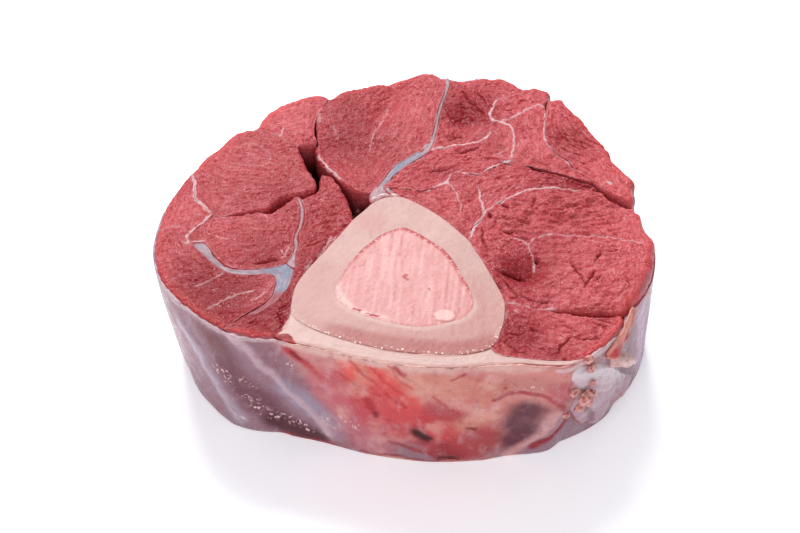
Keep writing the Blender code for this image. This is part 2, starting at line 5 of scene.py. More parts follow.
import bpy
import numpy as np
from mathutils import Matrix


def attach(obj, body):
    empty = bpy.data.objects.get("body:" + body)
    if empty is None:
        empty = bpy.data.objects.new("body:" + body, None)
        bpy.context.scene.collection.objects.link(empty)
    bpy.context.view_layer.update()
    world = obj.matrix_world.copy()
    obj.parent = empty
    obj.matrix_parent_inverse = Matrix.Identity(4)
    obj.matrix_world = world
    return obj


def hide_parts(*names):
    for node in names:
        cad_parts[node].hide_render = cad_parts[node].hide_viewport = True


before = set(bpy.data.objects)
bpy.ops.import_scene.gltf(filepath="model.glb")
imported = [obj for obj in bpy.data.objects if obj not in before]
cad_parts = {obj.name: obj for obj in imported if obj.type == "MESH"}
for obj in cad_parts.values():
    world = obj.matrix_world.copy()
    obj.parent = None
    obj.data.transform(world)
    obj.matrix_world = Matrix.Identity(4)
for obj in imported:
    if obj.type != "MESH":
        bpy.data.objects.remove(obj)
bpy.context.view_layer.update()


# The shin bone
# A thick ring of hard bone, sawn clean across: matt, tan-pink and paler at its rear corner, with faint saw
# lines. Its front wall is warmer, and crumbs of bone lie along the edge there.

# The slice is sawn straight across, so every piece of it is a plan outline carried down to the table. The
# knife and the saw drag the soft outside, so the walls lean in towards the underside by LEAN, in
# millimetres at each bearing. Plans are in millimetres, seen from above.
MM = 0.001
THICKNESS = 38.0
MIDDLE = np.array([1.46, 22.2])
LEAN = np.array([
    (0, 0.5), (60, 2.5), (120, 2.5), (180, 4.0), (204, 4.0), (213, 2.2), (224, 0.6), (270, 0.3), (290, 0.2),
    (301, 2.4), (309, 4.0), (320, 2.2), (330, 0.5), (360, 0.5),
])
LEAN_POWER = 1.4
PLAN_RADIUS = 60.0


def bearing(plan):
    """The direction of plan points from the slice's middle, in degrees from +X, from 0 to 360."""
    return np.degrees(np.arctan2(plan[..., 1] - MIDDLE[1], plan[..., 0] - MIDDLE[0])) % 360


def lean_rate(plan, height):
    """How much of a point's squared radius it is drawn in by at a height: nothing at the top, most at the
    table."""
    fall = np.clip(1 - height / THICKNESS, 0, 1) ** LEAN_POWER
    return np.interp(bearing(plan), LEAN[:, 0], LEAN[:, 1]) * fall / PLAN_RADIUS ** 2


def placed(plan, height):
    """Plan points at their heights, in metres in the part's frame: radius less lean_rate times radius
    squared."""
    offset = plan - MIDDLE
    radius = np.linalg.norm(offset, axis=-1)
    flat = offset * (1 - lean_rate(plan, height) * radius)[..., None]
    return np.concatenate([flat, np.broadcast_to(height, radius.shape)[..., None]], axis=-1) * MM


def smooth_line(points, spacing, closed=False):
    """A Catmull-Rom curve through plan points, read off at an even spacing in millimetres."""
    points = np.asarray(points, float)
    if closed:
        ends = points[-1:], points[:2]
    else:
        ends = 2 * points[:1] - points[1:2], 2 * points[-1:] - points[-2:-1]
    padded = np.concatenate([ends[0], points, ends[1]])
    a, b, c, d = (padded[k: len(padded) - 3 + k, None] for k in range(4))
    t = np.linspace(0, 1, 24, endpoint=False)[None, :, None]
    curve = b + 0.5 * ((c - a) * t + (2 * a - 5 * b + 4 * c - d) * t ** 2 + (3 * b - a - 3 * c + d) * t ** 3)
    curve = np.concatenate([curve.reshape(-1, points.shape[1]), points[:1] if closed else points[-1:]])
    travelled = np.concatenate([[0], np.cumsum(np.linalg.norm(np.diff(curve[:, :2], axis=0), axis=1))])
    count = max(3, round(travelled[-1] / spacing) + 1)
    wanted = np.linspace(0, travelled[-1], count)
    line = np.stack([np.interp(wanted, travelled, column) for column in curve.T], axis=1)
    return line[:-1] if closed else line


CUT_HEIGHT = 13.001


def cut_outline(name, height=CUT_HEIGHT):
    """A CAD solid's outline where a level plane cuts it, as a counter-clockwise loop of plan points.

    Each triangle that the plane crosses gives a short line between two of its edges, and the lines are
    followed end to end from the one furthest out. The lean at that height is undone: the radius solves r -
    k r^2 = cut radius.
    """
    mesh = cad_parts[name].data
    mesh.calc_loop_triangles()
    corners = np.empty(len(mesh.vertices) * 3, np.float32)
    mesh.vertices.foreach_get("co", corners)
    triangles = np.empty(len(mesh.loop_triangles) * 3, np.int32)
    mesh.loop_triangles.foreach_get("vertices", triangles)
    solid = corners.reshape(-1, 3)[triangles.reshape(-1, 3)].astype(float) / MM
    above = solid[:, :, 2] > height
    crossed = above.any(axis=1) & ~above.all(axis=1)
    solid, above = solid[crossed], above[crossed]
    top_alone = above.sum(axis=1) == 1
    lone = np.where(top_alone, above.argmax(axis=1), (~above).argmax(axis=1))
    rows = np.arange(len(solid))[:, None]
    solid = solid[rows, (lone[:, None] + np.arange(3)) % 3]
    share = (height - solid[:, :1, 2]) / (solid[:, 1:, 2] - solid[:, :1, 2])
    ends = solid[:, :1, :2] + (solid[:, 1:, :2] - solid[:, :1, :2]) * share[:, :, None]
    ends[~top_alone] = ends[~top_alone, ::-1]
    following = np.linalg.norm(ends[:, None, 1] - ends[None, :, 0], axis=2).argmin(axis=1)
    first = np.linalg.norm(ends[:, 0] - ends[:, 0].mean(axis=0), axis=1).argmax()
    loop, at = [first], following[first]
    while at != first:
        loop.append(at)
        at = following[at]
    cut = ends[loop, 0]
    radius = np.linalg.norm(cut, axis=1)
    rate = np.maximum(lean_rate(cut + MIDDLE, height), 1e-9)
    cut *= ((1 - np.sqrt(1 - 4 * rate * radius)) / (2 * rate) / radius)[:, None]
    cut = cut[np.linalg.norm(cut - np.roll(cut, 1, axis=0), axis=1) > 0.4] + MIDDLE
    across, along = cut.T
    turn = (across * np.roll(along, -1) - along * np.roll(across, -1)).sum()
    return cut if turn > 0 else cut[::-1]


thin_kinds = ("membrane", "fascia", "scrap")
outlines = {name: cut_outline(name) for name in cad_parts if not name.endswith(thin_kinds)}


def ease(low, high, value):
    """0 below low, 1 above high, and a smooth S between them."""
    t = np.clip((value - low) / (high - low), 0, 1)
    return t * t * (3 - 2 * t)


def noise(x, y, z=0.0, seed=0):
    """Smooth noise between -1 and 1: a repeatable number at each whole-number corner, blended between
    corners."""
    x, y, z = np.broadcast_arrays(x, y, z)
    base = np.stack([x, y, z])
    cell = np.floor(base)
    t = base - cell
    t = t * t * t * (t * (t * 6 - 15) + 10)
    cell = cell.astype(np.int64)
    total = np.zeros(x.shape)
    for dx in (0, 1):
        for dy in (0, 1):
            for dz in (0, 1):
                mix = (cell[0] + dx) * 374761393 + (cell[1] + dy) * 668265263 + (cell[2] + dz) * 1440662683
                mix = (mix + seed * 69069) & 0xFFFFFFFF
                mix = ((mix ^ (mix >> 13)) * 1274126177) & 0xFFFFFFFF
                value = ((mix ^ (mix >> 16)) & 0xFFFF) / 32767.5 - 1
                weight = (t[0] if dx else 1 - t[0]) * (t[1] if dy else 1 - t[1]) * (t[2] if dz else 1 - t[2])
                total += value * weight
    return total


def cloud(x, y, z=0.0, seed=0, octaves=3):
    """Noise with detail: each octave is twice as fine and half as strong as the one before."""
    total, reach = 0, 0
    for k in range(octaves):
        total = total + noise(x * 2 ** k + 7.3 * k, y * 2 ** k - 3.1 * k, z * 2 ** k, seed + k) / 2 ** k
        reach += 1 / 2 ** k
    return total / reach


def polar(loop, middle):
    """A loop's radius about a middle as a function of direction: straight lines between its points, round
    the circle."""
    offset = smooth_line(loop, 0.1, closed=True) - middle
    angle = np.arctan2(offset[:, 1], offset[:, 0])
    order = angle.argsort()
    angle, radius = angle[order], np.linalg.norm(offset, axis=1)[order]
    angle = np.concatenate([angle[-1:] - 2 * np.pi, angle, angle[:1] + 2 * np.pi])
    radius = np.concatenate([radius[-1:], radius, radius[:1]])
    return lambda direction: np.interp(direction, angle, radius)


SAW_LINE = 0.9
BONE_ROUNDING = 0.08
marrow_middle = outlines["marrow"].mean(axis=0)
bone_edge = smooth_line(outlines["bone"], 0.3, closed=True)
toward = bone_edge - marrow_middle
direction = np.arctan2(toward[:, 1], toward[:, 0])
bone_edge = bone_edge + 0.2 * toward / np.linalg.norm(toward, axis=1)[:, None]
hole_radius = polar(outlines["marrow"], marrow_middle)(direction) + 0.03
hole_edge = marrow_middle + hole_radius[:, None] * np.stack([np.cos(direction), np.sin(direction)], axis=1)


def bone_height(plan):
    """The sawn bone: flat, with saw lines across it, a slight hollow, and a fine roughness."""
    x, y = plan[..., 0], plan[..., 1]
    lines = 0.006 * np.sin((x * 0.97 + y * 0.24) * 2 * np.pi / SAW_LINE + cloud(x / 6, y / 6, seed=2))
    rough = 0.05 * cloud(x / 1.2, y / 1.2, seed=3)
    return THICKNESS + 0.15 + lines + rough + 0.12 * cloud(x / 8, y / 8, seed=5)


bone_plan, bone_up = [], []
for share in np.linspace(0, 1, 8):
    bone_plan.append(hole_edge + (bone_edge - hole_edge) * share)
    bone_up.append(np.full(len(bone_edge), 0.2))
for share in np.linspace(0, 1, 14)[1:]:
    bone_plan.append(bone_edge)
    bone_up.append(0.2 + (bone_height(bone_edge) - 0.2 - BONE_ROUNDING) * share)
width = np.linalg.norm(bone_edge - hole_edge, axis=1)[:, None]
for inward in (0.02, 0.05, BONE_ROUNDING):
    spot = bone_edge + (hole_edge - bone_edge) * inward / width
    bone_plan.append(spot)
    bone_up.append(bone_height(spot) - BONE_ROUNDING * (1 - math.sqrt(1 - (1 - inward / BONE_ROUNDING) ** 2)))
for share in np.linspace(0, 1, 46)[1:]:
    inward = BONE_ROUNDING + (width - BONE_ROUNDING - 0.2) * share
    spot = bone_edge + (hole_edge - bone_edge) * inward / width
    bone_plan.append(spot)
    bone_up.append(bone_height(spot))
for outward in (0.1, 0.02):
    spot = hole_edge + (bone_edge - hole_edge) * outward / width
    bone_plan.append(spot)
    bone_up.append(bone_height(spot))
for share in np.linspace(0, 1, 10):
    bone_plan.append(hole_edge)
    bone_up.append((bone_height(hole_edge) - 0.04) * (1 - share) + 0.25 * share)
bone_plan, bone_up = np.stack(bone_plan), np.stack(bone_up)


def new_piece(name, points, faces):
    """A smooth-shaded mesh of these points and faces, placed in the scene under its name."""
    mesh = bpy.data.meshes.new(name)
    mesh.from_pydata(points.reshape(-1, 3).tolist(), [], faces)
    mesh.shade_smooth()
    piece = bpy.data.objects.new(name, mesh)
    bpy.context.scene.collection.objects.link(piece)
    return piece


def closed_mesh(name, stack, hollow=False):
    """A closed body from rings of points, each ring the same count and the first and last drawn in to a
    slit.

    Quads join each ring to the next. The slits are zipped: each point of one side is joined to its twin on
    the other. A hollow body has no slits: its last ring is joined to its first.
    """
    rings, count = stack.shape[:2]
    number = np.arange(rings * count).reshape(rings, count)
    if hollow:
        number = np.concatenate([number, number[:1]])
    ahead = np.roll(number, -1, axis=1)
    quads = np.stack([number[:-1], ahead[:-1], ahead[1:], number[1:]], axis=-1).reshape(-1, 4)
    if hollow:
        return new_piece(name, stack, quads.tolist())
    half = count // 2
    near = np.arange(1, half - 1)
    zips, caps = [], []
    for row, flip in ((number[0], True), (number[-1], False)):
        far = (count - near) % count
        strip = np.stack([row[near], row[near + 1], row[far - 1], row[far]], axis=-1)
        ends = np.array([[row[0], row[1], row[count - 1]], [row[half - 1], row[half], row[half + 1]]])
        zips.append(strip[:, ::-1] if flip else strip)
        caps.append(ends[:, ::-1] if flip else ends)
    return new_piece(name, stack, np.concatenate([quads, *zips]).tolist() + np.concatenate(caps).tolist())


def paint(piece, **layers):
    """Stores each layer, one number per point, as an attribute of the piece's mesh."""
    for name, values in layers.items():
        layer = piece.data.attributes.new(name, "FLOAT", "POINT")
        layer.data.foreach_set("value", np.ascontiguousarray(values, np.float32).ravel())


bone_ring = closed_mesh("sawn_shin_bone", placed(bone_plan, bone_up), hollow=True)
x, y = bone_plan[..., 0], bone_plan[..., 1]
outer_gap = np.linalg.norm(bone_plan - bone_edge, axis=-1)
inner_gap = np.linalg.norm(bone_plan - hole_edge, axis=-1)
paint(
    bone_ring,
    warm=ease(-18, -26, y + 0.14 * x) * ease(7.5, 3.0, outer_gap) * ease(-28, -12, x),
    blush=np.clip(
        ease(26, 10, np.hypot(x - 12, y + 22)) + 0.7 * ease(9, 2, np.hypot(x + 8, (y - 17) * 1.3)) + (
            0.5 * ease(26, 8, np.hypot(x + 22, y + 12))), 0, 1),
    dry=ease(2.5, 0.3, inner_gap) * ease(-8, -16, y),
    chips=ease(1.8, 0.6, outer_gap) * ease(-12, -24, y),
    side=ease(THICKNESS - 0.1, THICKNESS - 0.5, bone_up),
)


def hex_colour(code):
    """An sRGB hex colour such as 'c4545b' as linear red, green, blue and a full alpha."""
    parts = np.array([int(code[k: k + 2], 16) / 255 for k in (0, 2, 4)])
    linear = np.where(parts <= 0.04045, parts / 12.92, ((parts + 0.055) / 1.055) ** 2.4)
    return (*linear, 1.0)


def add_node(tree, kind, links=None, **settings):
    """Adds a shader node. Settings are its properties or its inputs' values; links name outputs to feed
    inputs."""
    node = tree.nodes.new("ShaderNode" + kind)
    for key, value in settings.items():
        if hasattr(node, key):
            setattr(node, key, value)
        else:
            node.inputs[int(key[1:]) if key[1:].isdigit() else key.replace("_", " ")].default_value = value
    for key, source in (links or {}).items():
        tree.links.new(source, node.inputs[key])
    return node


def coloured(tree, base, layers):
    """Lays colours over a base colour, one after another, and gives the last one's output.

    A layer is a source, the two source values between which it comes in, its share there, and its hex
    colour. A source is an attribute's name or a node's output. A sixth entry, if there is one, is a source
    whose value the layer's share is multiplied by.
    """
    for source, start, full, share, code, *masks in layers:
        sources = [
            add_node(tree, "Attribute", attribute_name=entry).outputs["Fac"]
            if isinstance(entry, str) else entry
            for entry in (source, *masks)
        ]
        amount = add_node(
            tree, "MapRange", {0: sources[0]}, interpolation_type="SMOOTHSTEP", _1=start, _2=full, _4=share,
        ).outputs[0]
        if masks:
            amount = add_node(tree, "Math", {0: amount, 1: sources[1]}, operation="MULTIPLY").outputs[0]
        mix = add_node(tree, "Mix", {0: amount}, data_type="RGBA", _7=hex_colour(code))
        if isinstance(base, str):
            mix.inputs[6].default_value = hex_colour(base)
        else:
            tree.links.new(base, mix.inputs[6])
        base = mix.outputs[2]
    return base


def new_material(name):
    """A material, its node tree, and the output that its patterns read their place from."""
    material = bpy.data.materials.new(name)
    material.use_nodes = True
    return material, material.node_tree, add_node(material.node_tree, "TexCoord").outputs["Object"]


def join_shader(tree, colour, bumps, glow, radius, **constants):
    """Joins a colour to the shader, and a chain of bumps, each a value and its depth in millimetres.

    glow is how much light goes through the surface, and radius how far its red, green and blue go, in
    millimetres. The other settings are constants by the shader's own names.
    """
    shader = tree.nodes["Principled BSDF"]
    tree.links.new(colour, shader.inputs["Base Color"])
    normal = None
    for value, depth in bumps:
        links = {"Height": value} if normal is None else {"Height": value, "Normal": normal}
        normal = add_node(tree, "Bump", links, Distance=depth * MM, Strength=1.0).outputs[0]
    tree.links.new(normal, shader.inputs["Normal"])
    shader.inputs["Subsurface Weight"].default_value = glow
    shader.inputs["Subsurface Radius"].default_value = radius
    shader.inputs["Subsurface Scale"].default_value = MM
    for key, value in constants.items():
        shader.inputs[key.replace("_", " ")].default_value = value
    return shader


def finish_piece(piece, material, slot, *nodes):
    """Dresses a piece in its material, lets it stand for its CAD solids and rides it on the slice."""
    piece.data.materials.append(material)
    for node in nodes:
        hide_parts(node)
    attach(piece, "root")


# Hard bone: matt and close-grained, stained pink by blood, warmer where marrow fat has soaked its front,
# with pale dust and crumbs from the saw.
sawn_bone, tree, place = new_material("hard bone, sawn")
patch = add_node(tree, "TexNoise", {0: place}, Scale=1 / (7.0 * MM)).outputs[0]
pores = add_node(tree, "TexNoise", {0: place}, Scale=1 / (0.5 * MM), Detail=3.0, Roughness=0.7).outputs[0]
dust = add_node(tree, "TexNoise", {0: place}, Scale=1 / (0.6 * MM)).outputs[0]
colour = coloured(tree, "b98a84", [
    (patch, 0.3, 0.7, 1.0, "c4968f"), ("blush", 0.0, 1.0, 1.0, "ba7f79"), ("warm", 0.0, 1.0, 1.0, "a4514a"),
    ("dry", 0.0, 1.0, 1.0, "c69b93"), ("side", 0.0, 1.0, 1.0, "8e2426"), (pores, 0.62, 0.72, 0.3, "efd9d3"),
    (dust, 0.60, 0.66, 1.0, "f6ece8", "chips"),
])
join_shader(tree, colour, [(pores, 0.06)], 0.15, (1.5, 0.75, 0.6), Roughness=0.48, IOR=1.5)
finish_piece(bone_ring, sawn_bone, "bone", "bone")


# The marrow
# Fatty pink marrow held in a lattice of spongy bone. The saw leaves it in upright lines with pits between,
# and blood dots it round the edge, where the lattice meets the hard bone.
def two_sided(loop, spine, spacing, narrow=False):
    """A loop read off as two sides of equally many points, from the point nearest the spine's start to the
    one nearest its end and back, with the spot on the spine that each point faces. In a narrow strip the
    sides face the line midway between them instead, which stops short of the strip's ends."""
    dense = smooth_line(loop, 0.1, closed=True)
    middle_line = smooth_line(spine, 0.4)
    first = np.linalg.norm(dense - middle_line[0], axis=1).argmin()
    dense = np.roll(dense, -first, axis=0)
    last = np.linalg.norm(dense - middle_line[-1], axis=1).argmin()
    sides = dense[: last + 1], np.concatenate([dense[last:], dense[:1]])
    half = round(max(map(len, sides)) * 0.1 / spacing)
    picked, shares = [], []
    for side, ends in zip(sides, ((0, 1), (1, 0))):
        wanted = np.linspace(0, len(side) - 1, half + 1)
        side = np.stack([np.interp(wanted, np.arange(len(side)), column) for column in side.T], axis=1)[:-1]
        nearest = np.linalg.norm(side[:, None] - middle_line[None], axis=2).argmin(axis=1)
        nearest = nearest / (len(middle_line) - 1)
        if ends[0]:
            nearest = np.minimum.accumulate(nearest)
        else:
            nearest = np.maximum.accumulate(nearest)
        picked.append(side)
        shares.append(nearest)
    edge, share = np.concatenate(picked), np.concatenate(shares)
    if narrow:
        opposite = np.roll(edge[::-1], 1, axis=0)
        ladder = (edge + opposite)[: half + 1] / 2
        short = 0.5 * np.linalg.norm(edge - opposite, axis=1).max() / (half * spacing)
        onward = np.linspace(0, 1, half + 1) * (1 - 2 * short) + short
        ladder = np.stack([np.interp(onward * half, np.arange(half + 1), column) for column in ladder.T],
                          axis=1)
        return edge, np.concatenate([ladder[:-1], ladder[:0:-1]])
    width = max(3, round(2.0 / spacing))
    box = np.ones(2 * width + 1) / (2 * width + 1)
    share = np.convolve(np.pad(share, width, mode="wrap"), box, "valid")
    share = (share + np.roll(share[::-1], 1)) / 2
    ticks = np.linspace(0, 1, len(middle_line))
    return edge, np.stack([np.interp(share, ticks, column) for column in middle_line.T], axis=1)


MARROW_LINE = 1.5
marrow_edge, marrow_target = two_sided(outlines["marrow"], [(-3, 3), (1, -5), (4, -12)], 0.3)
marrow_edge = marrow_target + (marrow_edge - marrow_target) * 1.008


def marrow_height(plan):
    """The sawn marrow: upright saw lines, pits where spongy bone stands round a void, and the pale chip at
    the front."""
    x, y = plan[..., 0], plan[..., 1]
    lines = noise(x * 1.1 - y * 0.1, y / 9, seed=41)
    pits = ease(0.5, 0.85, noise(x / 0.5, y / 0.5, seed=42))
    chip = ease(1.1, 0.8, np.hypot((x - 11.8) / 3.0, (y + 18.4) / 2.2) + 0.1 * noise(x, y, seed=44))
    rough = 0.03 * noise(x / 0.9, y / 0.9, seed=45)
    return THICKNESS + 0.04 * lines + rough - 0.03 * pits + 0.2 * chip + 0.15


# The share of its reach at which a body's first and last ring stop short of the spine, as a narrow slit.
SLIT = 0.012


def body_rings(edge, target, shoulder, height_at, wall_rows, row_spacing, swell=0.0):
    """The rings of a sawn body: from a slit under it, out over its underside, up its wall, over a rounded
    shoulder, and in across its face to a slit. Gives the plan, the height and the distance in from the edge
    of each point.

    Face points run straight from the edge to the spine. Over the shoulder, of radius w, a point a distance
    d in from the edge lies w - sqrt(w^2 - (w - d)^2) below the face. Low down the wall stands out further
    by swell.
    """
    reach = np.linalg.norm(edge - target, axis=1)
    shoulder = np.minimum(shoulder, 0.5 * reach)
    face_rows = max(6, round(np.percentile(reach, 80) / row_spacing))
    under = np.linspace(SLIT, 1, 7)[:, None] * (reach - 0.5) / reach
    plan = [target + (edge - target) * share[:, None] for share in under]
    lift = 0.25 + 0.2 * cloud(np.stack(plan)[..., 0] / 4, np.stack(plan)[..., 1] / 4, seed=4)
    heights = list(lift * ease(0.0, 0.3, 1 - under) + 0.05)
    depth = [np.clip(reach * (1 - share), 0, None) for share in under]
    crest = height_at(edge) - shoulder
    outward = (edge - target) / reach[:, None]
    for share in np.linspace(0, 1, wall_rows):
        level = 0.5 + (crest - 0.5) * share
        low = swell * ease(THICKNESS - 9, THICKNESS - 20, level)
        plan.append(edge + outward * low[:, None])
        heights.append(level)
        depth.append(0 * reach)
    arcs = (1 - np.cos(np.linspace(0, np.pi / 2, 7)[1:]))[:, None] * shoulder
    across = np.linspace(0, 1, face_rows + 1)[1:, None] * ((1 - SLIT) * reach - shoulder) + shoulder
    for inward in np.concatenate([arcs, across]):
        spot = edge + (target - edge) * (inward / reach)[:, None]
        short = np.clip(shoulder - inward, 0, None)
        drop = shoulder - np.sqrt(np.clip(shoulder ** 2 - short ** 2, 0, None))
        plan.append(spot)
        heights.append(height_at(spot) - drop)
        depth.append(inward)
    walls = len(under), len(under) + wall_rows
    return np.stack(plan), np.stack(heights), np.stack(depth), walls


def line_distance(plan, line, reach):
    """How far plan points are from a line of points, and how far along it, from 0 to 1. The distance is the
    least one to any of the line's straight runs, and points further off than reach are given reach."""
    line = np.asarray(line, float)
    flat = plan.reshape(-1, 2)
    nearest = np.full(len(flat), float(reach))
    share = np.zeros(len(flat))
    low, high = line.min(axis=0) - reach, line.max(axis=0) + reach
    close = np.flatnonzero(((flat > low) & (flat < high)).all(axis=1))
    spot = flat[close]
    best, where = nearest[close], share[close]
    for k, (start, end) in enumerate(zip(line, line[1:])):
        run = end - start
        t = np.clip((spot - start) @ run / max(run @ run, 1e-12), 0, 1)
        away = np.linalg.norm(spot - start - t[:, None] * run, axis=1)
        nearer = away < best
        best = np.where(nearer, away, best)
        where = np.where(nearer, (k + t) / (len(line) - 1), where)
    nearest[close], share[close] = best, where
    return nearest.reshape(plan.shape[:-1]), share.reshape(plan.shape[:-1])


def wandered(plan, reach=0.5):
    """Plan points moved about by up to reach, so that lines drawn on them waver as torn tissue does."""
    x, y = plan[..., 0], plan[..., 1]
    slow = np.stack([cloud(x / 2.2, y / 2.2, seed=31), cloud(x / 2.2, y / 2.2, seed=57)], axis=-1)
    quick = np.stack([noise(x / 0.6, y / 0.6, seed=33), noise(x / 0.6, y / 0.6, seed=59)], axis=-1)
    return plan + reach * (slow + 0.4 * quick)


plan, height, depth, _ = body_rings(
    marrow_edge, marrow_target, np.full(len(marrow_edge), 0.03), marrow_height, 8, 0.28,
)
marrow_core = closed_mesh("sawn_marrow", placed(plan, height))
x, y = plan[..., 0], plan[..., 1]
rear = ease(-4, 8, y) * (0.5 + 0.5 * ease(-6, 6, x)) + 0.5 * ease(8, 16, x) * ease(-14, -6, y) + 0.3
marks = np.zeros(height.shape)
for spot in ([(-12.4, -15.2), (-10.4, -16.4)], [(-8.4, -17.8), (-5.6, -18.8)], [(1.4, -3.8), (2.0, -5.4)],
             [(7.4, -8.6), (8.0, -9.0)]):
    away, _ = line_distance(wandered(plan, 0.8), spot, 2.0)
    marks = np.maximum(marks, ease(0.6, 0.15, away))
paint(
    marrow_core, blood=1.3 * ease(1.7, 0.2, depth) * rear, marks=marks,
    lines=0.5 + 0.5 * noise(x * 0.9 - y * 0.09, y / 12, seed=41),
    rough=ease(0.45, 0.8, noise(x / 0.6, y / 0.6, seed=42)),
    chip=ease(1.1, 0.8, np.hypot((x - 11.8) / 3.0, (y + 18.4) / 2.2) + 0.1 * noise(x, y, seed=44)),
    crust=ease(3.2, 1.0, depth) * ease(2, -6, x) * ease(-2, -12, y),
)
# Marrow in spongy bone: soft, moist and fatty, so it is paler and less shiny than the meat, with pale
# points where the bone lattice shows and red ones where its vessels were cut.
spongy_marrow, tree, place = new_material("marrow in spongy bone, sawn")
patch = add_node(tree, "TexNoise", {0: place}, Scale=1 / (4.0 * MM), Detail=3.0).outputs[0]
vessels = add_node(tree, "TexNoise", {0: place}, Scale=1 / (0.7 * MM)).outputs[0]
rim_dots = add_node(tree, "TexNoise", {0: place}, Scale=1 / (0.9 * MM)).outputs[0]
fine = add_node(tree, "TexNoise", {0: place}, Scale=1 / (0.35 * MM)).outputs[0]
lattice = add_node(tree, "TexVoronoi", {0: place}, Scale=1 / (0.9 * MM)).outputs[0]
colour = coloured(tree, "cb8582", [
    (patch, 0.3, 0.7, 1.0, "d3928f"), ("lines", 0.55, 0.8, 0.35, "e3b2ae"),
    (lattice, 0.3, 0.1, 0.3, "ecc8c3"), ("rough", 0.0, 1.0, 0.15, "cc7673"),
    (vessels, 0.70, 0.76, 0.6, "c2504f"), ("crust", 0.0, 1.0, 0.7, "e9c3be"),
    (rim_dots, 0.38, 0.5, 1.0, "b4242b", "blood"), ("chip", 0.0, 1.0, 1.0, "e2b0ab"),
    ("marks", 0.0, 1.0, 1.0, "a8242d"),
])
join_shader(
    tree, colour, [(lattice, 0.01), (fine, 0.02)], 0.2, (1.5, 0.6, 0.45), Roughness=0.42, IOR=1.45,
    Specular_IOR_Level=0.35,
)
finish_piece(marrow_core, spongy_marrow, "marrow", "marrow")


# The meat
# Eleven muscles, cut across their fibres. The face is moist and finely grained where the fibre bundles end,
# with white connective tissue between and inside the muscles, and it is drawn up or torn a little where the
# saw dragged.

# The widest outline of all the pieces together, as a radius for each direction from the middle
ENVELOPE_STEPS = 720
every_edge = np.concatenate([smooth_line(loop, 0.2, closed=True) for loop in outlines.values()])
envelope = np.zeros(ENVELOPE_STEPS)
steps = (bearing(every_edge) / 360 * ENVELOPE_STEPS).astype(int) % ENVELOPE_STEPS
np.maximum.at(envelope, steps, np.linalg.norm(every_edge - MIDDLE, axis=1))


def rim_distance(plan):
    """How far inside the slice's outer rim plan points are, along the line from its middle, in
    millimetres."""
    ticks = np.arange(ENVELOPE_STEPS + 1) * 360 / ENVELOPE_STEPS
    edge = np.interp(bearing(plan), ticks, np.append(envelope, envelope[0]))
    return edge - np.linalg.norm(plan - MIDDLE, axis=-1)


# How the saw and the meat's own spring leave the face: swells and hollows, as x, y, height, spread
SWELLS = (
    (-44, 40, 0.9, 9), (-31, 60, 0.5, 7), (-17, 47, -1.8, 6), (-4, 66, -0.8, 5), (5, 62, 1.0, 8),
    (-58, 8, 0.4, 8), (-42, 10, 0.5, 8), (-21, 14, -1.2, 5), (-22, 31, 0.8, 5), (20, 62, -1.4, 5),
    (36, 56, 0.8, 6), (20, 40, 0.5, 6), (50, 52, -0.9, 7), (40, 34, 0.7, 7), (33, -1, -2.2, 3.5),
    (56, 0, 1.2, 10), (45, 20, 0.8, 8), (40, -25, -1.0, 10),
)


def face_height(plan):
    """The sawn face's height over plan points: the slice's thickness and a bell-shaped bump for each
    swell."""
    height = np.full(plan.shape[:-1], THICKNESS)
    for x, y, rise, spread in SWELLS:
        height += rise * np.exp(-((plan[..., 0] - x) ** 2 + (plan[..., 1] - y) ** 2) / (2 * spread ** 2))
    return height


# Real fibre bundles end in grains too fine to show, so the grain is drawn coarser than it is.
FIBRE_LENGTH = 0.55
FIBRE_WIDTH = 0.2


def fibre_grain(plan, target, seed):
    """The cut bundles' grain, about -1 to 1: even random numbers drawn out along each ring and a little
    across.

    Each ring is blurred by a bell of FIBRE_LENGTH, worked out as a product of its frequencies.
    """
    rows, count = plan.shape[:2]
    random = np.random.default_rng(seed).standard_normal((rows, count))
    ring_step = np.linalg.norm(np.roll(plan, -1, axis=1) - plan, axis=2).mean(axis=1)
    row_step = np.maximum(np.linalg.norm(np.diff(plan, axis=0), axis=2).mean(), 0.05)
    waves = np.fft.rfftfreq(count)[None]
    reach = np.minimum(FIBRE_LENGTH / np.maximum(ring_step, 0.01), count / 8)[:, None]
    blur = np.exp(-2 * (np.pi * waves * reach) ** 2)
    lines = np.fft.irfft(np.fft.rfft(random, axis=1) * blur, n=count, axis=1)
    lines /= lines.std(axis=1, keepdims=True)
    down = np.exp(-2 * (np.pi * np.fft.fftfreq(rows)[:, None] * FIBRE_WIDTH / row_step) ** 2)
    lines = np.fft.ifft(np.fft.fft(lines, axis=0) * down, axis=0).real
    return np.clip(lines / lines.std() / 2, -1.2, 1.2)


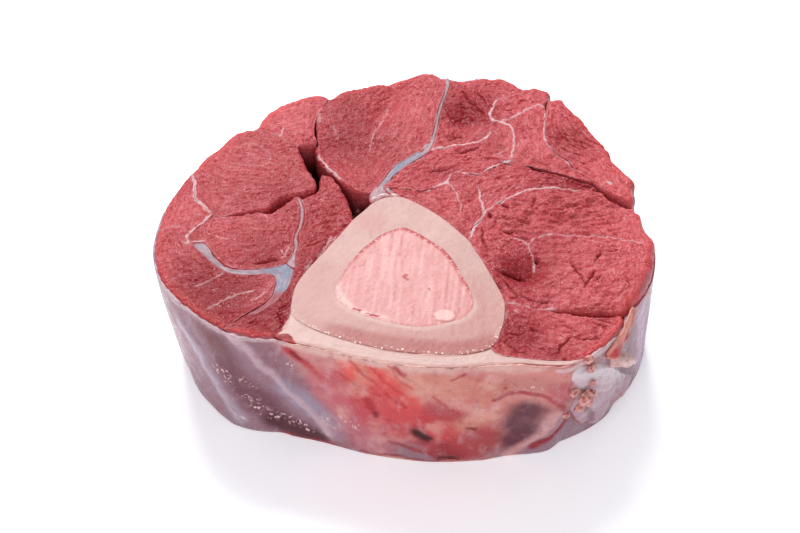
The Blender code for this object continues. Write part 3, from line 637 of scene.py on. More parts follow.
def muscle(
    name, spine, white=(), cracks=(), hollows=(), ridges=(), seam_white=0.5, tone=0.0, crag=0.12,
    wall_rows=16, rim_round=1.3, rim_red=0.5, pull=(0, 3.0, 1.0, 0.22), shades=(), seed=1,
):
    """Builds a muscle round its CAD solid's outline and paints its tissue.

    white lists (width, strength, points) of the tissue drawn on the face, cracks lists (width, depth,
    points), hollows lists (spread, depth, points), and ridges lists (turn in degrees, length, width, depth,
    x, y, spread). pull gives the turn, length, spacing and depth of the small tears that the saw opened
    along the fibres, and shades lists paler (above 0) and darker (below 0) patches as (amount, spread, x,
    y).
    """
    loop = outlines[name]
    edge, target = two_sided(loop, spine, 0.32)
    others = np.concatenate([
        smooth_line(other, 0.5, closed=True) for key, other in outlines.items() if key != name
    ])
    gap = np.linalg.norm(edge[:, None] - others[None], axis=2).min(axis=1)
    gap = np.convolve(np.pad(gap, 4, mode="wrap"), np.ones(9) / 9, "valid")
    outer = ease(5.0, 1.5, rim_distance(edge)) * ease(0.5, 1.2, gap)
    reach = np.linalg.norm(edge - target, axis=1)
    tight = ease(0.9, 0.5, gap)
    ragged = 0.32 * cloud(edge[:, 0] / 1.4, edge[:, 1] / 1.4, seed=seed + 3) * (1 - tight)
    edge = target + (edge - target) * ((reach + 0.19 + ragged) / reach)[:, None]
    shoulder = 0.12 * tight + (1 - tight) * (0.6 + 0.4 * np.clip(gap, 0, 2))
    shoulder = shoulder * (1 - outer) + outer * rim_round
    white = [(width, strength, smooth_line(points, 0.8)) for width, strength, points in white]
    cracks = [(width, depth, smooth_line(points, 0.8)) for width, depth, points in cracks]
    hollows = [(width, depth, smooth_line(points, 1.5) if len(points) > 1 else points * 2)
               for width, depth, points in hollows]

    def tears(plan):
        """How far open the small tears along the fibres are, from 0 to 1: wavering lines, only in
        places."""
        a = math.radians(pull[0])
        x, y = plan[..., 0], plan[..., 1]
        u, v = (x * math.cos(a) + y * math.sin(a)) / pull[1], (y * math.cos(a) - x * math.sin(a)) / pull[2]
        line = ease(0.55, 1.0, np.cos(2 * np.pi * (v + 0.8 * cloud(u * 0.8, v * 0.4, seed=seed + 12))))
        here = ease(0.05, 0.5, noise(u * 1.2, v * 0.9, seed=seed + 10))
        here = here * ease(-0.1, 0.4, noise(x / 5, y / 5, seed=seed + 11))
        return line * here

    def height_at(plan):
        """The face's height: its swells and roughness, less the tears, cracks and hollows, plus the
        ridges."""
        x, y = plan[..., 0], plan[..., 1]
        height = face_height(plan) + 0.35 * cloud(x / 9, y / 9, seed=seed)
        height = height + crag * cloud(x / 2.4, y / 2.4, seed=seed + 5)
        height += 0.15 * noise(x / 0.8, y / 0.8, seed=seed + 6) - pull[3] * tears(plan)
        for turn, length, width, depth, cx, cy, span in ridges:
            a = math.radians(turn)
            u, v = (x * math.cos(a) + y * math.sin(a)) / length, (y * math.cos(a) - x * math.sin(a)) / width
            folds = cloud(u, v + 0.6 * noise(u * 0.7, v * 0.4, seed=seed + 2), seed=seed + 9, octaves=2)
            crest = np.maximum(1 - np.abs(folds) * 2.6, -0.3)
            here = np.exp(-((x - cx) ** 2 + (y - cy) ** 2) / (2 * span ** 2))
            height += depth * crest * here
        soft = wandered(plan)
        for width, depth, line in cracks:
            away, share = line_distance(soft, line, 3 * width)
            ends = np.sin(np.pi * np.clip(share, 0.04, 0.96)) ** 0.5
            height -= depth * np.exp(-(away / width) ** 2) * ends * (away < 3 * width)
        for width, depth, line in hollows:
            away, _ = line_distance(plan, line, 3 * width)
            height -= depth * np.exp(-(away / width) ** 2)
        for width, strength, line in white:
            away, _ = line_distance(soft, line, 3 * width)
            height += 0.10 * strength * np.exp(-(away / width) ** 2)
        return height

    swell = (1 - outer) * ease(6.5, 4.5, gap) * np.clip(0.6 * gap, 0, 2.4)
    plan, height, depth, (wall_start, wall_end) = body_rings(
        edge, target, shoulder, height_at, wall_rows, 0.32, swell,
    )
    lines = fibre_grain(plan, target, seed)
    on_face = np.zeros(height.shape)
    on_face[wall_end:] = ease(0.0, 0.6, depth[wall_end:])
    height = height + 0.05 * lines * on_face
    soft = wandered(plan)
    tissue = (0.25 + 0.75 * tight) * seam_white * np.exp(-(depth / 0.42) ** 2) * (
        0.65 + 0.6 * cloud(plan[..., 0] / 1.6, plan[..., 1] / 1.6, seed=8))
    for width, strength, line in white:
        away, share = line_distance(soft, line, 4 * width)
        patchy = 0.95 + 0.4 * cloud(plan[..., 0] / 1.3, plan[..., 1] / 1.3, seed=15)
        ends = ease(0, 0.08, share) * ease(1, 0.92, share) * 0.6 + 0.4
        tissue = np.maximum(tissue, strength * patchy * ends * ease(1.6 * width, 0.6 * width, away))
    # Painted shade: the small tears and the cracks are painted dark red, the shade that falls in their
    # grooves.
    deep = tears(plan) * min(0.7, 2.0 * pull[3]) * on_face
    for width, cut, line in cracks:
        away, share = line_distance(soft, line, 3 * width)
        groove = min(1, 0.3 + 0.6 * cut) * np.exp(-(away / (0.8 * width)) ** 2)
        deep = np.maximum(deep, groove * ease(0, 0.1, share) * ease(1, 0.9, share))
    tissue[:wall_end] *= 0.2
    wall = np.zeros(height.shape)
    wall[wall_start:wall_end] = 1
    wall[wall_end:] = ease(0.7, 0.1, depth[wall_end:] / np.minimum(shoulder, 3))
    # Painted shade: on walls that face another muscle, the meat is painted darker from 4 mm below the face
    # down to 12 mm, where the gap is shaded.
    crevice = ease(THICKNESS - 4, THICKNESS - 12, height)
    shade = np.full(height.shape, float(tone))
    for amount, span, cx, cy in shades:
        shade += amount * np.exp(-((soft[..., 0] - cx) ** 2 + (soft[..., 1] - cy) ** 2) / (2 * span ** 2))
    piece = closed_mesh(name + "_meat", placed(plan, height))
    paint(
        piece, tissue=np.clip(tissue, 0, 1), deep=np.clip(deep, 0, 1), fibre=0.5 + 0.5 * lines * on_face,
        # Painted glow: rim paints the face a brighter orange red within 4.5 mm of the slice's outer rim, for
        # the edge that curves away from the light's sheen.
        rim=rim_red * ease(4.5, 0.3, rim_distance(plan)) * (0.3 + 0.7 * outer), wall=wall * outer,
        crevice=wall * (1 - outer) * crevice, tone=shade,
    )
    finish_piece(piece, raw_meat, "meat", name)


# Raw beef: wet red muscle, its cut bundles flecked with a pinkish painted sheen, glossy where the moisture
# lies, darker and redder down the seams and cracks as painted shade, and a brighter, more orange red painted
# along the rim as the glow of an edge that turns away from the light.
raw_meat, tree, place = new_material("raw beef, cut across the grain")
patch = add_node(tree, "TexNoise", {0: place}, Scale=1 / (9.0 * MM)).outputs[0]
speck = add_node(tree, "TexNoise", {0: place}, Scale=1 / (0.55 * MM), Roughness=0.6).outputs[0]
mottle = add_node(tree, "TexNoise", {0: place}, Scale=1 / (3.0 * MM), Detail=5.0, Roughness=0.65).outputs[0]
# Painted highlights: tiny near-white dots stand for the glints of light on the wet face.
painted_glints = add_node(tree, "TexNoise", {0: place}, Scale=1 / (0.42 * MM), Detail=1.0).outputs[0]
fine = add_node(tree, "TexNoise", {0: place}, Scale=1 / (0.25 * MM), Detail=1.0).outputs[0]
bundle = add_node(tree, "TexVoronoi", {0: place}, feature="DISTANCE_TO_EDGE",
                  Scale=1 / (1.1 * MM)).outputs[0]
upright = add_node(tree, "Mapping", {0: place}, Scale=(1.0, 1.0, 0.6)).outputs[0]
film = add_node(tree, "TexNoise", {0: upright}, Scale=1 / (5.0 * MM), Detail=4.0).outputs[0]
tone = add_node(tree, "Attribute", attribute_name="tone").outputs["Fac"]
# Painted sheen: this mask lets in the pale pink mottle, fibre, speck and bundle layers most where the face's
# tone is pale. Those layers stand for the whitish haze of light on the wet face.
painted_sheen = add_node(tree, "MapRange", {0: tone}, interpolation_type="SMOOTHSTEP", _1=-1.0, _2=0.6, _3=0.25,
                 _4=1.0)
painted_sheen = painted_sheen.outputs[0]
# Of these layers, the pale pink mottle, fibre, speck and bundle ones are painted sheen, the orange red at the
# rim is a painted glow, and the near-white dots are painted glints. The near-black red down the walls between
# muscles and the dark red in tears and cracks are painted shade.
colour = coloured(tree, "a9222c", [
    (patch, 0.35, 0.65, 1.0, "bc3540"), (tone, 1.0, -1.0, 0.7, "760e17"), (tone, -1.0, 1.0, 0.5, "dd6e73"),
    (mottle, 0.47, 0.33, 0.45, "8f1a25"), (mottle, 0.53, 0.67, 0.4, "cf7b84", painted_sheen),
    ("fibre", 0.36, 0.05, 0.5, "8c131c"), ("fibre", 0.62, 0.95, 0.5, "d97b81", painted_sheen),
    (speck, 0.56, 0.70, 0.6, "dd858a", painted_sheen), (bundle, 0.12, 0.02, 0.2, "d67f85", painted_sheen),
    (speck, 0.45, 0.32, 0.5, "8a0f19"), ("rim", 0.0, 1.0, 1.0, "d24a4a"),
    (painted_glints, 0.69, 0.75, 0.7, "f0c5c6"), ("crevice", 0.0, 1.0, 0.95, "3e0409"),
    (film, 0.42, 0.62, 0.6, "a8757f", "wall"), ("deep", 0.0, 1.0, 1.0, "7c0a13"),
    ("tissue", 0.0, 1.05, 1.0, "d9b5b8"),
])
shader = join_shader(
    tree, colour, [(bundle, 0.07), (speck, 0.2), (fine, 0.06)], 0.25, (1.0, 0.14, 0.10), IOR=1.38,
    Specular_IOR_Level=0.22,
)
gloss = add_node(tree, "TexNoise", {0: place}, Scale=1 / (1.6 * MM)).outputs[0]
gloss = add_node(tree, "MapRange", {0: gloss}, interpolation_type="SMOOTHSTEP", _1=0.3, _2=0.7, _3=0.26,
                 _4=0.46)
tree.links.new(gloss.outputs[0], shader.inputs["Roughness"])

muscle(
    "flank_muscle", [(-58.6, 33), (-61, 25), (-61.3, 12), (-56.5, 0), (-49, -10), (-44.5, -17.5)],
    wall_rows=30, rim_red=0.35,
    white=[
        (0.26, 0.4, [(-65.6, 13.6), (-63, 14.9), (-60, 15.4)]),
        (0.25, 0.3, [(-62, 10.5), (-60, 11.4), (-58.4, 11.2)]),
        (0.24, 0.35, [(-62.6, -6.4), (-60, -4.4), (-57, -3)]),
        (0.26, 0.5, [(-55, -7.5), (-51, -5.5), (-47, -2.4)]),
        (0.28, 0.55, [(-51.8, -16.8), (-48, -13.4), (-44, -11), (-38, -8.5)]),
        (0.25, 0.6, [(-38.2, -12.4), (-36.6, -10.6), (-35.8, -8.2)]),
        (0.22, 0.5, [(-39.4, -13), (-38.4, -11)]), (0.8, 0.75, [(-58.4, 9.6), (-57.4, 8.8)]),
        (0.45, 0.8, [(-58.4, 35.8), (-57.3, 33), (-57.3, 29), (-56.5, 26), (-54.2, 23.2), (-51.6, 20)]),
        (0.45, 0.8, [(-51.6, 20), (-54, 16.4), (-57, 12.6), (-58, 10.2)]),
    ],
    rim_round=0.8, pull=(-55, 3.5, 1.2, 0.14),
    shades=[(-1.0, 9, -50, -8), (-0.4, 5, -45, -19), (0.3, 7, -62, 22)], seed=11,
)
muscle(
    "upper_left_muscle", [(-50, 38), (-42, 38), (-34, 36)], tone=-0.1,
    white=[
        (0.25, 0.3, [(-47, 47), (-43, 49), (-38.6, 47.5), (-36.5, 43.5), (-38, 40.5), (-43, 39.6),
                     (-48, 41)]),
        (0.22, 0.3, [(-44, 45.5), (-41, 44), (-37, 43)]),
        (0.22, 0.3, [(-38.2, 46.5), (-37, 42), (-34, 39.5)]),
        (0.45, 0.8, [(-58.6, 36.4), (-57.3, 33), (-57.3, 29), (-56.5, 26), (-54.2, 23.2), (-51.6, 20)]),
    ],
    hollows=[(5.0, 0.7, [(-40, 44)])], pull=(15, 3.0, 1.2, 0.16),
    shades=[(0.2, 7, -50, 44), (-0.3, 5, -33, 30)], seed=12,
)
muscle(
    "inner_left_muscle", [(-50, 12), (-42, 10), (-35, 11)], tone=-0.15,
    white=[
        (0.24, 0.4, [(-50.2, 11.8), (-48.6, 10.4), (-46.2, 9.8)]),
        (0.3, 0.5, [(-39.5, 20.6), (-37.6, 20), (-36.5, 17.6)]),
        (0.25, 0.45, [(-32, 2.5), (-31, 5.5), (-30.2, 8.5)]), (0.22, 0.4, [(-31.4, 4), (-32.4, 6.4)]),
        (0.4, 0.6, [(-53, 9.4), (-56.6, 9.2)]), (0.3, 0.4, [(-49.4, 1.2), (-48.6, 1.6)]),
    ],
    cracks=[(0.5, 0.7, [(-40, 1), (-36, 1.6), (-32.6, 3)])],
    pull=(10, 2.5, 1.0, 0.2), shades=[(-0.4, 6, -38, 6), (0.2, 5, -46, 16)], seed=13,
)
muscle(
    "wedge_muscle", [(-20, 31), (-20.5, 21), (-23, 10), (-26.5, 0), (-29.8, -9), (-32, -16), (-36, -21.5)],
    tone=-0.25,
    white=[
        (0.5, 0.6, [(-22.4, 4), (-20.8, 7.6), (-18.6, 12)]),
        (0.3, 0.6, [(-20.6, 4.6), (-18.9, 8.4), (-17.4, 12.4)]), (0.35, 0.5, [(-25.5, -1), (-23.6, 2.5)]),
    ],
    cracks=[(0.5, 0.9, [(-25.6, -2), (-22.6, 3), (-20.8, 8), (-19.6, 12)]),
            (0.35, 0.5, [(-33, -17), (-31, -20), (-31.4, -23)])],
    ridges=[(20, 5, 1.2, 0.3, -18, 18, 6)], wall_rows=30, pull=(35, 4.0, 1.1, 0.35),
    shades=[(-0.9, 7, -35, -17), (-0.3, 6, -24, 4)], seed=14,
)
muscle(
    "small_rear_muscle", [(-35, 58), (-29, 61), (-25.5, 65)], tone=0.0,
    white=[(0.3, 0.6, [(-34.4, 51.8), (-33.8, 53.6), (-33.2, 55.6)])], rim_round=2.2,
    pull=(40, 3.0, 1.4, 0.12), shades=[(0.4, 7, -34, 64)], rim_red=0.8, seed=15,
)
muscle(
    "rear_muscle", [(2, 71), (-4, 58), (-9, 45), (-12, 36)], tone=-0.05,
    white=[
        (0.24, 0.55, [(-3.2, 66.5), (-4.2, 62.5), (-5.6, 59), (-7.5, 54), (-9, 48)]),
        (0.4, 0.5, [(-23, 62), (-23.2, 58.5)]), (0.3, 0.3, [(-19, 57), (-18, 52)]),
        (0.35, 0.7, [(-23.4, 46), (-21, 41.4), (-18.7, 37.6), (-16, 34)]),
    ],
    hollows=[(3.0, 1.0, [(-1, 74), (-4, 66), (-6.5, 58)]), (4.0, 0.8, [(-9, 44), (-7, 48)])],
    ridges=[(60, 4, 1.4, 0.18, -8, 70, 8)], rim_round=2.2, pull=(62, 4.0, 1.2, 0.14),
    shades=[(-0.55, 8, -14, 62), (-0.4, 6, -16, 48), (0.2, 8, 3, 66), (-0.2, 6, -6, 40)], seed=16,
)
muscle(
    "right_upper_muscle", [(26, 70), (29, 58), (24, 47), (14, 40), (2, 34)], tone=0.1, crag=0.4,
    white=[
        (0.28, 0.85, [(26, 58.6), (27, 59.2), (30.6, 57.8), (32.3, 54.4), (32.4, 50), (31.6, 45.6),
                      (31.4, 42.6)]),
        (0.32, 0.9, [(27, 59), (26, 61.5), (26.6, 65), (28.4, 69)]),
        (0.2, 0.25, [(28.4, 69), (32, 69.8), (36, 71.5)]),
        (0.32, 0.85, [(8.2, 46.6), (13, 48), (17, 48.8), (20.5, 49.4), (24, 51.6), (27, 54.4)]),
        (0.3, 0.7, [(28, 58.6), (33, 60.6), (36.6, 64), (39.6, 66.2), (41.8, 65.4)]),
        (0.34, 0.85, [(42, 67), (42.2, 62), (41.6, 57), (41.4, 53), (42.4, 49), (44.4, 45.4), (47, 42.4),
                      (49, 38.4)]),
        (0.4, 1.0, [(14, 36), (15.3, 37.2), (19.5, 36.2), (22.6, 36.3), (25, 38.4), (28.5, 40.2),
                    (31.3, 42.3)]),
        (0.24, 0.5, [(27, 44.6), (31, 47)]), (0.24, 0.5, [(33, 48), (35, 51)]),
    ],
    cracks=[
        (0.4, 0.7, [(18, 74), (20, 69), (23, 65), (25, 61)]), (0.4, 0.6, [(13, 66), (15, 60), (18, 57)]),
        (0.35, 0.6, [(22, 73), (25, 67)]), (0.4, 0.6, [(13, 52), (18, 52.6)]),
        (0.4, 0.7, [(16, 46), (20, 46.6), (23, 48.4)]), (0.35, 0.6, [(28, 51), (31, 53)]),
        (0.4, 0.6, [(43.2, 64), (43, 58), (42.8, 54)]), (0.35, 0.5, [(8, 38), (14, 39)]),
        (0.35, 0.5, [(33, 46), (38, 42), (42, 40)]), (0.45, 0.8, [(26.5, 49), (29.5, 47)]),
    ],
    hollows=[(4.0, 1.2, [(19, 61)]), (3.5, 1.0, [(14, 36.5), (9, 36)]), (2.5, 0.6, [(36, 54)]),
             (3.0, 0.8, [(19, 43)])],
    ridges=[(-50, 5, 1.6, 0.35, 20, 64, 7), (10, 5, 1.5, 0.25, 20, 44, 9)], rim_round=2.0,
    pull=(25, 3.5, 1.5, 0.38),
    shades=[(-0.9, 7, 20, 64), (0.25, 7, 36, 66), (0.2, 5, 38, 48), (-0.15, 5, 8, 38), (-0.2, 4, 26, 50)],
    seed=17,
)
muscle(
    "right_mid_muscle", [(4, 28), (14, 24), (20, 27), (30, 33.5), (42, 33), (50, 31.8)], tone=-0.02,
    crag=0.36,
    white=[
        (0.26, 0.6, [(13.5, 35.2), (13.6, 33), (15.5, 29.5), (16.6, 25), (17, 20.5)]),
        (0.25, 0.5, [(-2, 31.2), (3, 30.8), (7, 30.4)]),
        (0.5, 1.0, [(7.6, 29.6), (9.2, 31.6), (12.6, 33), (13.4, 35)]),
        (0.3, 0.8, [(21.6, 31), (22.3, 27), (22.9, 24), (23, 21.2)]),
        (0.2, 0.4, [(29, 30.6), (31.5, 31.2), (34.4, 31)]), (0.2, 0.4, [(34.2, 31), (34, 33), (34.6, 35)]),
        (0.36, 0.9, [(18.9, 10.4), (19.5, 13), (20.5, 15.8), (22.2, 17.8), (23.2, 20.8), (26, 23.6)]),
        (0.36, 0.8, [(26, 23.8), (30.5, 26.9), (35, 29.2), (39, 29.8), (45, 29.6), (50, 29.3)]),
    ],
    cracks=[(0.35, 0.6, [(10, 27.5), (12, 25)]), (0.3, 0.5, [(26, 34), (29, 36)]),
            (0.4, 0.6, [(50, 32), (54, 31)])],
    hollows=[(2.5, 0.8, [(20.5, 27)]), (2.5, 0.6, [(6, 29)]), (3.0, 0.5, [(38, 37)])],
    ridges=[(80, 5, 2.0, 0.25, 14, 26, 6), (10, 6, 1.6, 0.2, 38, 34, 8)], pull=(40, 3.5, 1.4, 0.3),
    shades=[(0.3, 5, 12, 27), (-0.6, 7, 46, 33), (0.2, 5, 28, 32)], seed=18,
)
muscle(
    "outer_right_muscle", [(46, 64), (49, 53), (54, 43), (59, 33)], tone=0.1,
    white=[(0.5, 0.7, [(57.5, 33.5), (59.6, 32.6)]), (0.3, 0.4, [(52, 56), (54, 53)])],
    ridges=[(-38, 6, 1.1, 0.45, 51, 50, 12)], rim_round=2.0, crag=0.16, pull=(-42, 5.0, 1.0, 0.32),
    shades=[(0.9, 6, 60, 36), (0.5, 5, 47, 66), (-0.5, 7, 50, 50)], seed=19,
)
muscle(
    "right_muscle", [(34, 8), (44, 7), (56, 5)], tone=0.1, crag=0.34, wall_rows=40,
    white=[
        (0.24, 0.6, [(34, 6.6), (35.6, 9), (38, 10.8), (42, 11.5), (50, 11), (56, 10.4), (60, 9.8),
                     (68, 8)]),
        (0.22, 0.6, [(29.5, 10.8), (32.4, 10.4), (34.8, 7.8), (36, 4), (36.2, 1)]),
        (0.36, 0.9, [(18.9, 10.4), (19.5, 13), (20.5, 15.8), (22.2, 17.8), (23.2, 20.8), (26, 23.6)]),
        (0.36, 0.85, [(26, 23.8), (30.5, 26.9), (35, 29.2), (39, 29.8), (45, 29.6), (50, 29.3)]),
        (0.4, 0.6, [(28, -13.5), (32, -14), (37, -15.6), (41, -15.2)]),
        (0.4, 0.7, [(35.8, 1.6), (36, -0.4)]),
    ],
    cracks=[
        (0.55, 1.5, [(36.4, 3.4), (37.2, 1.8)]), (0.6, 1.5, [(34.6, -2.4), (30.5, -1.4), (27, -0.6)]),
        (0.35, 0.8, [(45.6, 2), (46.6, -1), (48.4, -4.4), (49.4, -7)]),
        (0.35, 0.9, [(54.4, 4.6), (52.2, 0.6)]), (0.4, 1.0, [(52.4, -2), (50.8, -5), (49, -8.2)]),
        (0.5, 1.2, [(24.6, 21), (25, 18.6)]), (0.5, 1.2, [(28, 24.6), (29.4, 23.6), (30, 22.4)]),
        (0.4, 0.8, [(36.4, 27), (37.4, 25), (36.4, 22)]), (0.35, 0.8, [(22.4, 16), (22.6, 10), (23.8, 6)]),
        (0.35, 0.8, [(27, -3), (29.4, -8), (31.4, -11.4)]),
        (0.3, 0.7, [(31, -10.6), (36, -12.6), (41, -13.2)]), (0.3, 0.5, [(60, -4), (61.4, -8)]),
        (0.3, 0.5, [(25, -4.5), (27.4, -9)]), (0.4, 0.8, [(28, 13.6), (31, 12.4)]),
    ],
    hollows=[(3.2, 1.2, [(35, -2), (31, -1)]), (2.0, 0.7, [(44, 24), (52, 22.4)]),
             (2.0, 0.7, [(45, 17.4), (58, 16.4)])],
    ridges=[(4, 5.5, 1.5, 0.75, 50, 20, 9), (-20, 4.5, 1.6, 0.65, 33, 18, 7),
            (30, 6, 2.2, 0.15, 50, -2, 12)],
    rim_round=2.4, pull=(5, 4.0, 1.6, 0.34),
    # Among these shades, (-0.8, 6, 33, -1) is painted shade in the deep hollow there, and (1.6, 6, 66, 8)
    # brightens the rim as part of its painted glow.
    shades=[(-0.8, 6, 33, -1), (-0.2, 6, 30, -8), (-0.05, 8, 44, 18), (0.25, 7, 52, -9), (1.6, 6, 66, 8),
            (0.6, 6, 62, 16)], seed=20,
)
muscle(
    "front_right_muscle", [(34, -23), (43, -25), (50, -24)], tone=0.0, crag=0.2, wall_rows=40,
    white=[(0.4, 0.4, [(24.6, -27), (27, -21), (28.4, -15.6)]), (0.35, 0.5, [(30, -15.8), (31.4, -17.2)])],
    cracks=[
        (0.35, 0.8, [(44.6, -25), (42.4, -28), (41, -31)]),
        (0.3, 0.6, [(53, -24.6), (50, -26), (45, -25.6)]), (0.35, 0.6, [(34, -22), (36, -23)]),
        (0.3, 0.5, [(42, -20), (46, -22.4)]), (0.35, 0.6, [(26.4, -27), (30, -30), (34, -31.6)]),
        (0.3, 0.5, [(52, -21), (54, -23)]),
    ],
    ridges=[(-30, 5, 2.0, 0.3, 42, -23, 10)], pull=(-25, 4.0, 1.6, 0.32),
    shades=[(-0.85, 4.5, 31, -24), (0.35, 7, 46, -22), (-0.7, 3, 40, -32)], seed=21,
)


# The white sheaths
# Tendon and the sheets of tissue between the muscles, cut edge-on: tough, wet and white, with a blue cast
# where they are thick, and fine fibres along them. One lies left of the bone, one runs from it to the rear,
# one covers its front.
def sheath(name, node, loop, spine, below=0.3, blue=0.5, pink=None, film=None, grow=0.2, cream=0.0, seed=1,
           wall_rows=14):
    """A sheath's body inside a loop: an even top with fibres that run beside its spine, and softly rounded
    edges.

    film is how many millimetres of its border the muscles' red tissue covers, as a rule of the plan.
    """
    edge, target = two_sided(loop, spine, 0.3, narrow=True)
    reach = np.linalg.norm(edge - target, axis=1)
    edge = target + (edge - target) * ((reach + grow) / reach)[:, None]

    def height_at(plan):
        """The face's height less how far the sheath lies below it, and slow swells of its own."""
        x, y = plan[..., 0], plan[..., 1]
        return face_height(plan) - below + 0.12 * cloud(x / 3.5, y / 3.5, seed=seed)

    plan, height, depth, (_, wall_end) = body_rings(
        edge, target, np.full(len(edge), 0.12), height_at, wall_rows, 0.25,
    )
    lines = fibre_grain(plan, target, seed)
    height[wall_end:] += 0.03 * lines[wall_end:] * ease(0, 0.5, depth[wall_end:])
    piece = closed_mesh(name, placed(plan, height))
    x, y = plan[..., 0], plan[..., 1]
    cast = blue(plan, depth) if callable(blue) else np.full(height.shape, blue)
    covered = film(plan) if film else np.zeros(height.shape)
    paint(
        piece, blue=np.clip(cast * (0.8 + 0.5 * cloud(x / 2.5, y / 2.5, seed=seed + 3)), 0, 1),
        fibre=0.5 + 0.5 * lines,
        # core paints the shin sheath paler along its middle, away from its borders: a painted sheen.
        cream=np.full(height.shape, cream), core=cream * ease(0.5, 1.4, depth),
        blood=ease(0.2, -0.1, depth - covered - 0.2 * cloud(x / 0.8, y / 0.8, seed=seed + 7)),
        pink=pink(plan) if pink else np.zeros(height.shape),
    )
    finish_piece(piece, wet_sheath, "sheath", node)


# Tendon and fascia: tough and wet, so they shine, white where they are thin, blue-grey where they are
# thick, with fibres along them and a film of red tissue over their borders.
wet_sheath, tree, place = new_material("tendon and fascia, wet")
patch = add_node(tree, "TexNoise", {0: place}, Scale=1 / (2.5 * MM), Detail=3.0).outputs[0]
fine = add_node(tree, "TexNoise", {0: place}, Scale=1 / (0.4 * MM), Detail=3.0).outputs[0]
grains = add_node(tree, "TexNoise", {0: place}, Scale=1 / (0.8 * MM)).outputs[0]
# The pale cream along the middle of the shin sheath is a painted sheen.
colour = coloured(tree, "b48f94", [
    (patch, 0.35, 0.65, 1.0, "9d7a83"), ("blue", 0.0, 1.0, 1.0, "7c8198"),
    ("fibre", 0.60, 0.95, 0.25, "cdb9c1"), ("fibre", 0.35, 0.05, 0.3, "8d5a66"),
    ("pink", 0.0, 1.0, 1.0, "9c505a"), ("cream", 0.0, 1.0, 0.92, "c99a94"),
    ("core", 0.0, 1.0, 0.6, "dabdb8"), ("blood", 0.0, 1.0, 0.97, "a2131e"),
    (grains, 0.48, 0.58, 0.7, "6c0811", "blood"),
])
join_shader(
    tree, colour, [(fine, 0.05)], 0.15, (1.2, 0.6, 0.54), Roughness=0.33, IOR=1.42, Specular_IOR_Level=0.15,
)

TENDON_BAND = [
    (-56.2, 8.4), (-54.6, 6), (-52.2, 3), (-49.6, 0), (-46.3, -2.4), (-42, -3.3), (-38, -3.2),
    (-35.3, -2.7), (-33.7, -3.6), (-33.3, -6.2), (-33.8, -9.5), (-35, -12.6), (-37.8, -15.4), (-41, -18),
    (-38.5, -17.9), (-35.6, -15.6), (-32.5, -12.4), (-30.2, -8.7), (-28.9, -4.5), (-28.3, 0.3),
    (-29.4, 2.4), (-31.5, 0.6), (-34, -0.2), (-38, -0.8), (-43, -0.9), (-46, -0.1), (-48, 1.6),
    (-50.5, 4.2), (-51.6, 6.9), (-53.4, 8.8),
]
TENDON_BRANCH = [
    (-30.4, 1.2), (-28.4, -0.6), (-28.1, 2.4), (-28, 5), (-27.4, 8.5), (-27.7, 12.5), (-26.6, 16.5),
    (-26.2, 20), (-26.4, 23), (-27.2, 26), (-28.6, 27), (-27.8, 24), (-27.6, 20), (-28.1, 16), (-29, 12),
    (-28.9, 9), (-28.8, 6), (-29.6, 2.8),
]
sheath(
    "tendon_band", "tendon_sheath", TENDON_BAND,
    [(-54.6, 8), (-52, 4.8), (-49, 0.8), (-46, -1.2), (-42, -2.1), (-36, -1.9), (-32, -2.4), (-31.4, -6),
     (-32.6, -10.4),
     (-36, -14.8), (-39.6, -17.4)],
    blue=lambda plan, depth: 0.45 + 0.55 * ease(-40, -34, plan[..., 0]) * ease(0.2, 1.1, depth), seed=61,
    pink=lambda plan: ease(-7.5, -11, plan[..., 1]),
    film=lambda plan: 0.4 + 0.6 * ease(-35, -38, plan[..., 0]) * ease(-53.5, -50.5, plan[..., 0]),
)
sheath(
    "tendon_branch", "tendon_sheath", TENDON_BRANCH,
    [(-29, 1), (-28.5, 5), (-28.2, 9), (-28.2, 12), (-27.5, 16), (-27, 20), (-27.2, 24), (-27.8, 26)],
    below=0.1, blue=0.2, seed=62, film=lambda plan: 0.4 + 0.3 * ease(2, 6, plan[..., 1]),
)
sheath(
    "rear_fascia", "rear_sheath", outlines["rear_sheath"],
    [(13.9, 77.2), (13.5, 74), (12.6, 69), (11.1, 61.5), (10.3, 56), (9.4, 51), (8.2, 47), (5, 43.6),
     (1, 40.4),
     (-1.8, 37.8), (-3.6, 34.4), (-5.2, 31), (-4.6, 28.4)],
    below=0.0, seed=63,
    blue=lambda plan, depth: (
        0.8 * ease(0.3, 0.9, depth) * ease(48, 43, plan[..., 1]) * ease(30, 34, plan[..., 1]) + 0.12
    ),
    film=lambda plan: 0.15 + 0.45 * ease(44, 40, plan[..., 1]),
)
sheath(
    "shin_fascia", "shin_sheath", outlines["shin_sheath"],
    [(-31.4, -24.6), (-28.4, -23.6), (-24, -25.6), (-17, -28.8), (-8, -31.6), (2, -33.6), (10, -34.4),
     (17, -34.2),
     (22, -33.2), (28, -34), (34, -34.2), (40, -34.5), (44, -34.5)],
    below=-0.05, wall_rows=24, seed=64, grow=0.3, blue=0.06, cream=1.0,
    film=lambda plan: 4 * np.exp(-((plan[..., 0] + 29.6) ** 2 + (plan[..., 1] + 26) ** 2) / 5) - 0.4,
)


